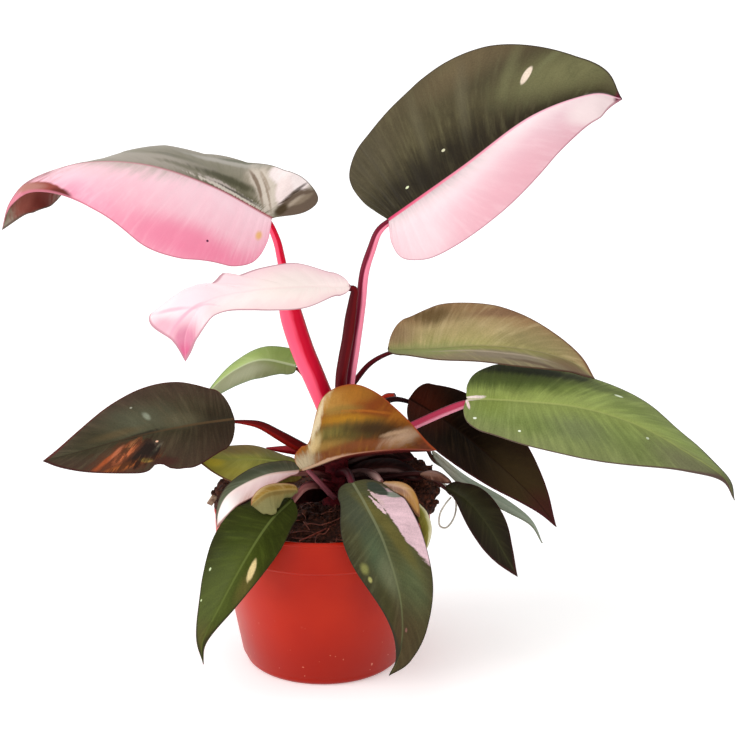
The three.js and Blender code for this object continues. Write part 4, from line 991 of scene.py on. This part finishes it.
def pot_plastic():
    """Moulded polypropylene: satin, so it shows a broad soft sheen, with fine scuffs and pale specks, and
    painted shade that darkens it towards the foot.
    """
    material, add, shader = new_material("satin_terracotta_polypropylene", Specular_IOR_Level=0.14)
    place = on_piece(add)
    cloud = add("TexNoise", {"Vector": place, "Scale": 1 / 30, "Detail": 3.0})
    grain = add("TexNoise", {"Vector": place, "Scale": 1 / 0.6, "Detail": 2.0})
    scuffs = add("TexNoise", {"Vector": place, "Scale": 1 / 2.6, "Detail": 1.0})
    colour = add("ValToRGB", (cloud,), stops=[(0.3, "#a81b04"), (0.7, "#b22306")])
    low = add("SeparateXYZ", (place,), out="Z")
    near_foot = add("MapRange", (low, 45.0, 8.0), **SMOOTH)
    # Painted shade: the plastic darkens to a deeper red from 45 mm down to 8 mm above the foot.
    darker = add("MapRange", (low, 45.0, 8.0, 0.0, 0.65), **SMOOTH)
    colour = add("Mix", {0: darker, 6: colour, 7: "#901200"}, **COLOURS)
    speck = add("MapRange", (scuffs, 0.74, 0.78, 0.0, 0.7), **SMOOTH)
    specked = add("Math", (speck, near_foot), operation="MULTIPLY")
    colour = add("Mix", {0: specked, 6: colour, 7: "#d98a72"}, **COLOURS)
    gloss = add("MapRange", (cloud, 0.3, 0.7, 0.3, 0.36))
    skin = add("Bump", {"Height": grain, "Strength": 0.12, "Distance": 0.1 * MM}, out="Normal")
    feed(shader, Base_Color=colour, Roughness=gloss, Normal=skin)
    return material


def compost():
    """Moist peat and bark crumb: matt and very dark, each crumb a little different."""
    material, add, shader = new_material("moist_compost_crumb", Roughness=0.85, Specular_IOR_Level=0.2)
    place = on_piece(add)
    grain = add("TexNoise", {"Vector": place, "Scale": 1 / 2.2, "Detail": 6.0, "Roughness": 0.7})
    colour = add("ValToRGB", (grain,), stops=[(0.35, "#1a0a06"), (0.52, "#3c1d12"), (0.7, "#6e3a26")])
    skin = add("Bump", {"Height": grain, "Strength": 0.8, "Distance": 1.2 * MM}, out="Normal")
    feed(shader, Base_Color=colour, Normal=skin)
    return material


# ---- pieces ------------------------------------------------------------------------------------

STALKS = {  # colours: left or upper side, right or lower side, outer edge (painted shade), foot; length of the foot
    "top_right": ("#6e162a", "#ff8ea8", "#300810", "#c8284c", 30.0),
    # top_left's left colour is lighter than its right partly as a painted highlight on the lit side.
    "top_left": ("#ff5a78", "#d81234", "#8e0a1e", "#cc1834", 20.0),
    "middle_pink": ("#4c0810", "#62080f", "#1c0408", "#5a0c14", 30.0),
    "back_left": ("#6a1410", "#4a0c0c", "#2a0808", "#4a0c10", 30.0),
    "left_dark": ("#861410", "#5a0a0a", "#200506", "#5a0e10", 24.0),
    "left_yellow": ("#7a2418", "#5a1414", "#2a0a0a", "#3a0a0e", 20.0),
    "left_half_moon": ("#a8746a", "#8a5650", "#5a2a2c", "#3a0a10", 20.0),
    "front_left": ("#97645f", "#7d4a48", "#4a1c20", "#4a0a14", 26.0),
    "front_right": ("#5a1a28", "#4a1420", "#2a0a10", "#2a080c", 40.0),
    "right_small": ("#4a2422", "#341412", "#200a0a", "#1c0808", 40.0),
    "right_dark": ("#2a0c0e", "#1c0808", "#100405", "#200608", 20.0),
    "right_green": ("#b83a56", "#ea93a8", "#6a1a2e", "#4a0c18", 26.0),
    "right_olive": ("#5a1018", "#420a12", "#20050a", "#4a0c14", 20.0),
    "centre_orange": ("#93545c", "#7c4048", "#4a161e", "#4a101a", 14.0),
    "back_right": ("#5a3a30", "#3a2018", "#201008", "#1c0808", 40.0),
}
SLOT_OF = {"top_right": "leaf_pink", "top_left": "leaf_pink", "middle_pink": "leaf_pink",
           "left_half_moon": "leaf_pink", "front_right": "leaf_pink", "left_dark": "leaf_dark",
           "right_small": "leaf_dark", "right_dark": "leaf_dark"}


BIG, SMALL = {"veins": 15, "columns": 20}, {"veins": 9, "columns": 10}  # of half a blade
BIG_OVER = 15  # mm, half a blade's width


def make_blade(name, skin, leaf, slot, *nodes):
    size = BIG if max(widest(leaf["left"]), widest(leaf["right"])) > BIG_OVER else SMALL
    piece = blade(f"{name}_leaf", leaf, **size)
    piece.data.materials.append(leaf_upper(name, LOOKS[skin], leaf, size["veins"]))
    piece.data.materials.append(leaf_under(name, LOOKS[skin]))
    finish_piece(piece, slot, *nodes)


# The keel under a blade at shares of its midrib: radius as a share of the petiole's, and how far
# under the blade it lies, mm.
KEEL = ((0.02, 0.85, 1.3), (0.12, 0.65, 0.9), (0.25, 0.45, 0.6), (0.4, 0.2, 0.5))


def with_keel(leaf):
    """A petiole's path that runs on under the midrib as its keel, thinning out."""
    share, thin, under = np.array(KEEL).T
    rib = Midrib(leaf)
    point, _, up, aside = rib.at(rib.length * share)
    left, right = (np.radians(listed(leaf[side]["fold"], share)) for side in ("left", "right"))
    above = up * (np.cos(left) + np.cos(right))[:, None] + aside * (np.sin(left) - np.sin(right))[:, None]
    radius = leaf["petiole"][-1][3] * thin
    deep = (radius + under) / np.cos((left + right) / 2)
    keel = np.column_stack([point - unit(above) * deep[:, None], radius])
    return leaf["petiole"][:-1] + keel.tolist()


def make_leaves():
    for name, leaf in LEAVES.items():
        make_blade(name, name, leaf, SLOT_OF.get(name, "leaf_green"), f"{name}_blade")
        path = with_keel(leaf)
        stalk = tube(f"{name}_stalk", path)
        blade_at = float(path_length(path) * (len(path) - len(KEEL)) / (len(path) - 1))
        skin = stalk_skin(name, *STALKS[name], keel=LOOKS[name]["under"], blade_at=blade_at)
        stalk.data.materials.append(skin)
        finish_piece(stalk, "petiole_red", f"{name}_petiole")


def make_scales():
    for name, scale in SCALES.items():
        make_blade(name, name, scale, "dry_scale", name)
    for name, (rib, face) in WITHERED.items():
        make_blade(name, "withered", {"rib": rib, "face": face, "left": LIMP, "right": LIMP}, "dry_scale")


# ---- pot, soil and stem --------------------------------------------------------------------------

POT = {  # mm
    "rim": 60, "rim_height": 2, "collar": 59.4, "collar_bottom": 71, "neck": 57.6, "base": 44.5,
    "corner": 5, "height": 90, "wall": 1.2, "floor": 2, "drain": 4, "drain_circle": 27, "drains": 6,
    "edge": 0.25,
}


def wall_radius(height):
    """Outside of the pot below its collar."""
    return POT["base"] + (POT["neck"] - POT["base"]) * height / POT["collar_bottom"]


def pot_profile():
    """Radius and height round the pot's wall, from its underside to its floor, with small steps and
    roundings in millimetres at its corner, collar and lip."""
    corner, top, collar, wall = POT["corner"], POT["height"], POT["collar"], POT["wall"]
    foot, low = POT["base"] - 0.8 * corner, POT["height"] - POT["rim_height"]
    bottom = POT["collar_bottom"]
    turn = [(foot + 0.8 * corner * math.sin(a), 1.1 * corner * (1 - math.cos(a)))
            for a in np.radians((0, 22, 44, 66, 84))]
    outside = [(wall_radius(1.3 * corner), 1.3 * corner), (POT["neck"], bottom),
               (collar - 0.2, bottom + 1.2), (collar, bottom + 1.8), (collar + 0.1, low - 0.4),
               (POT["rim"], low), (POT["rim"], top - 0.5)]
    lip = [(POT["rim"] - 0.5, top), (collar - wall + 0.5, top), (collar - wall, top - 0.5)]
    inside = [(collar - wall, bottom + 1), (wall_radius(bottom) - wall, bottom - 0.6),
              (wall_radius(7) - wall, 7), (foot, POT["floor"])]
    return turn + outside + lip + inside


def turned(name, profile, sides):
    """A round piece: a circle drawn out ring by ring, closed at both ends."""
    (radius, height), rest = profile[0], profile[1:]
    bpy.ops.mesh.primitive_circle_add(vertices=sides, radius=radius * MM, location=(0, 0, height * MM))
    piece = bpy.context.object
    piece.name = name
    bpy.ops.object.transform_apply(location=True)
    bpy.ops.object.mode_set(mode="EDIT")
    bpy.ops.mesh.select_mode(type="EDGE")
    bpy.ops.mesh.select_all(action="SELECT")
    for next_radius, next_height in rest:
        up = (0, 0, (next_height - height) * MM)
        bpy.ops.mesh.extrude_edges_move(TRANSFORM_OT_translate={"value": up})
        wider = next_radius / radius
        bpy.ops.transform.resize(value=(wider, wider, 1), center_override=(0, 0, 0))
        radius, height = next_radius, next_height
    bpy.ops.mesh.select_all(action="SELECT")
    bpy.ops.mesh.fill_holes(sides=0)
    bpy.ops.mesh.select_all(action="SELECT")
    bpy.ops.mesh.normals_make_consistent(inside=False)
    bpy.ops.object.mode_set(mode="OBJECT")
    return piece


def make_pot():
    pot = turned("nursery_pot", pot_profile(), 144)
    apply(pot, "BEVEL", width=POT["edge"] * MM, segments=2, limit_method="ANGLE",
          angle_limit=math.radians(35))
    for k in range(POT["drains"]):
        angle = 2 * math.pi * (k + 0.5) / POT["drains"]
        place = [POT["drain_circle"] * MM * value for value in (math.cos(angle), math.sin(angle), 0)]
        bpy.ops.mesh.primitive_cylinder_add(vertices=40, radius=POT["drain"] * MM, depth=12 * MM,
                                            location=place)
        drill = bpy.context.object
        apply(pot, "BOOLEAN", operation="DIFFERENCE", object=drill, solver="EXACT")
        bpy.data.objects.remove(drill)
    pot.data.materials.append(pot_plastic())
    finish_piece(pot, "pot_plastic", "pot")


SOIL_TOP = 84  # mm; above it the crumb stands out freely
SOIL_STEP = 1.15  # mm, of its mesh
LUMPS = {"coarse": 5.0, "fine": 2.2, "fine_share": 0.6, "height": 1.5, "grow_over": 3}  # mm
# Lengths in millimetres, turns in radians. Steepest is the least upward part of the soil's normal.
CRUMBS = {"count": 650, "radius": (0.5, 1.9), "stretch": (0.6, 1.5), "over_soil": 1, "steepest": -0.2}
ROOTS = {  # x and y are where they start, step and bend how they go on
    "count": 60, "points": 4, "x": (-45, 45), "y": (-52, 5), "step": (3, 6), "bend": (-0.7, 0.7),
    "over_soil": (0.2, 1.2), "radius": (0.18, 0.42), "within": 53, "steepest": 0.3,
}
RIM_ROOT = [(12, -14, 87, 0.4), (6, -30, 88.5, 0.55), (-3, -46, 90, 0.5), (-11, -58.5, 91, 0.4)]
FLAKE = {
    "place": (-60, -14, 97), "turn": (0.3, 0.5, 0.2), "size": (3.4, 1.2, 6.5), "edge": 0.4,
}


def frame_copy(node_name, name):
    """A merged copy of a node's mesh, as a new piece."""
    bpy.ops.mesh.primitive_cube_add(size=1)
    piece = bpy.context.object
    piece.name = name
    source = bpy.data.objects[node_name]
    piece.data = source.data.copy()
    piece.data.transform(source.matrix_world)
    edit(piece, (bpy.ops.mesh.remove_doubles, {"threshold": 1e-6}))
    return piece


def make_soil():
    """The soil body, remade in an even fine mesh and broken up into crumb."""
    soil = frame_copy("soil", "compost")
    apply(soil, "REMESH", mode="VOXEL", voxel_size=SOIL_STEP * MM)
    count = len(soil.data.vertices)
    points = np.empty(3 * count, np.float32)
    normals = np.empty(3 * count, np.float32)
    soil.data.vertices.foreach_get("co", points)
    soil.data.vertices.foreach_get("normal", normals)
    points, normals = points.reshape(-1, 3) / MM, normals.reshape(-1, 3)
    places = map(Vector, points.tolist())
    coarse, fine, share = LUMPS["coarse"], LUMPS["fine"], LUMPS["fine_share"]
    lumps = [noise.noise(place / coarse) + share * noise.noise(place / fine) for place in places]
    free = np.clip((points[:, 2] - SOIL_TOP) / LUMPS["grow_over"], 0, 1)
    points = points + normals * (LUMPS["height"] * np.array(lumps) * free)[:, None]
    soil.data.vertices.foreach_set("co", (points * MM).astype(np.float32).ravel())
    soil.data.update()
    soil.data.materials.clear()
    soil.data.materials.append(compost())
    finish_piece(soil, "compost", "soil")
    return points, normals


def make_crumbs(points, normals):
    """Loose crumbs and bark chips on the soil and its heaps, in one piece."""
    draw = random.Random(11)
    over = points[:, 2] > SOIL_TOP + CRUMBS["over_soil"]
    open_top = np.flatnonzero(over & (normals[:, 2] > CRUMBS["steepest"]))
    crumbs = []
    for _ in range(CRUMBS["count"]):
        index = int(draw.choice(open_top))
        size = draw.uniform(*CRUMBS["radius"]) * MM
        bpy.ops.mesh.primitive_ico_sphere_add(subdivisions=1, radius=size, location=points[index] * MM)
        crumb = bpy.context.object
        crumb.scale = [draw.uniform(*CRUMBS["stretch"]) for _ in range(3)]
        crumb.rotation_euler = [draw.uniform(0, math.pi) for _ in range(3)]
        crumbs.append(crumb)
    joined(crumbs, "crumbs", compost(), "compost")


def make_roots(points, normals):
    """Thin roots lying on the soil, one that reaches the rim, and a flake of bark."""
    draw = random.Random(5)
    ground = points[(normals[:, 2] > ROOTS["steepest"]) & (points[:, 2] > SOIL_TOP)]
    roots = []
    for k in range(ROOTS["count"]):
        x, y = draw.uniform(*ROOTS["x"]), draw.uniform(*ROOTS["y"])
        turn = draw.uniform(0, 2 * math.pi)
        path = []
        for _ in range(ROOTS["points"]):
            inside = min(1, ROOTS["within"] / math.hypot(x, y))
            x, y = x * inside, y * inside
            near = np.argmin((ground[:, 0] - x) ** 2 + (ground[:, 1] - y) ** 2)
            height = ground[near, 2] + draw.uniform(*ROOTS["over_soil"])
            path.append((x, y, height, draw.uniform(*ROOTS["radius"])))
            x += draw.uniform(*ROOTS["step"]) * math.cos(turn)
            y += draw.uniform(*ROOTS["step"]) * math.sin(turn)
            turn += draw.uniform(*ROOTS["bend"])
        roots.append(tube(f"root_{k}", path, sides=6, step=2))
    joined(roots, "fine_roots", dry_root("red_brown_fine_root", "#8e4a34", "#54241a"), "root_fibre")
    root = tube("rim_root", RIM_ROOT, sides=8, step=1.5)
    root.data.materials.append(dry_root("red_brown_rim_root", "#8a3a24", "#5a1c12"))
    finish_piece(root, "root_fibre")
    place, size = ([MM * value for value in FLAKE[key]] for key in ("place", "size"))
    bpy.ops.mesh.primitive_cube_add(size=1, location=place, rotation=FLAKE["turn"])
    flake = bpy.context.object
    flake.name = "bark_flake"
    flake.scale = size
    bpy.ops.object.transform_apply(location=True, rotation=True, scale=True)
    apply(flake, "BEVEL", width=FLAKE["edge"] * MM, segments=2)
    flake.data.materials.append(dry_root("dry_bark_flake", "#b9a086", "#6a4632"))
    finish_piece(flake, "compost")


def joined(pieces, name, material, slot):
    """Several small shapes as one piece."""
    for piece in pieces:
        piece.select_set(True)
    bpy.context.view_layer.objects.active = pieces[0]
    bpy.ops.object.join()
    bpy.ops.object.transform_apply(location=True, rotation=True, scale=True)
    piece = bpy.context.object
    piece.name = name
    piece.data.materials.clear()
    piece.data.materials.append(material)
    finish_piece(piece, slot)


STEM = {"x": 7, "y": 0, "bottom": 62, "top": 126, "radius": 7, "steps": 48}
RING = {"every": 5, "raised": 0.5, "narrow": 4}  # mm, and the power that makes it narrow
SHOOT_COLOURS = {  # as in STALKS
    "bud_pale": ("#d9b0a8", "#c79a94", "#a06c68", "#1c0608", 58.0),
    "stub_red": ("#a82c1a", "#8a1c14", "#4a0f10", "#3a0a0e", 30.0),
    "tip_red": ("#8a1018", "#a82c34", "#4a0c14", "#3a0a0e", 20.0),
}


def make_stem():
    """The short stem, with a raised ring at each old leaf scar."""
    path = []
    for k in range(STEM["steps"] + 1):
        height = STEM["bottom"] + (STEM["top"] - STEM["bottom"]) * k / STEM["steps"]
        ring = max(0, math.cos(2 * math.pi * height / RING["every"])) ** RING["narrow"]
        path.append((STEM["x"], STEM["y"], height, STEM["radius"] + RING["raised"] * ring))
    stem = tube("stem_ringed", path, sides=28, step=1)
    stem.data.materials.append(stem_bark())
    finish_piece(stem, "stem_tissue", "stem")


def make_shoots():
    for name, path in SHOOTS.items():
        shoot = tube(f"{name}_shoot", path, sides=16, step=1)
        fleshy = name in SHOOT_COLOURS
        skin = (stalk_skin(name, *SHOOT_COLOURS[name]) if fleshy
                else dry_root("pale_dry_root", "#d9d3c4", "#b9b0a0"))
        shoot.data.materials.append(skin)
        finish_piece(shoot, "petiole_red" if fleshy else "root_fibre", name)


def make_floor():
    bpy.ops.mesh.primitive_plane_add(size=40)
    floor = bpy.context.object
    floor.name = "floor"
    floor.data.materials.append(floor_paper())


place_camera()
light_studio()
make_floor()
make_leaves()
make_scales()
make_pot()
soil_skin = make_soil()
make_crumbs(*soil_skin)
make_roots(*soil_skin)
make_stem()
make_shoots()
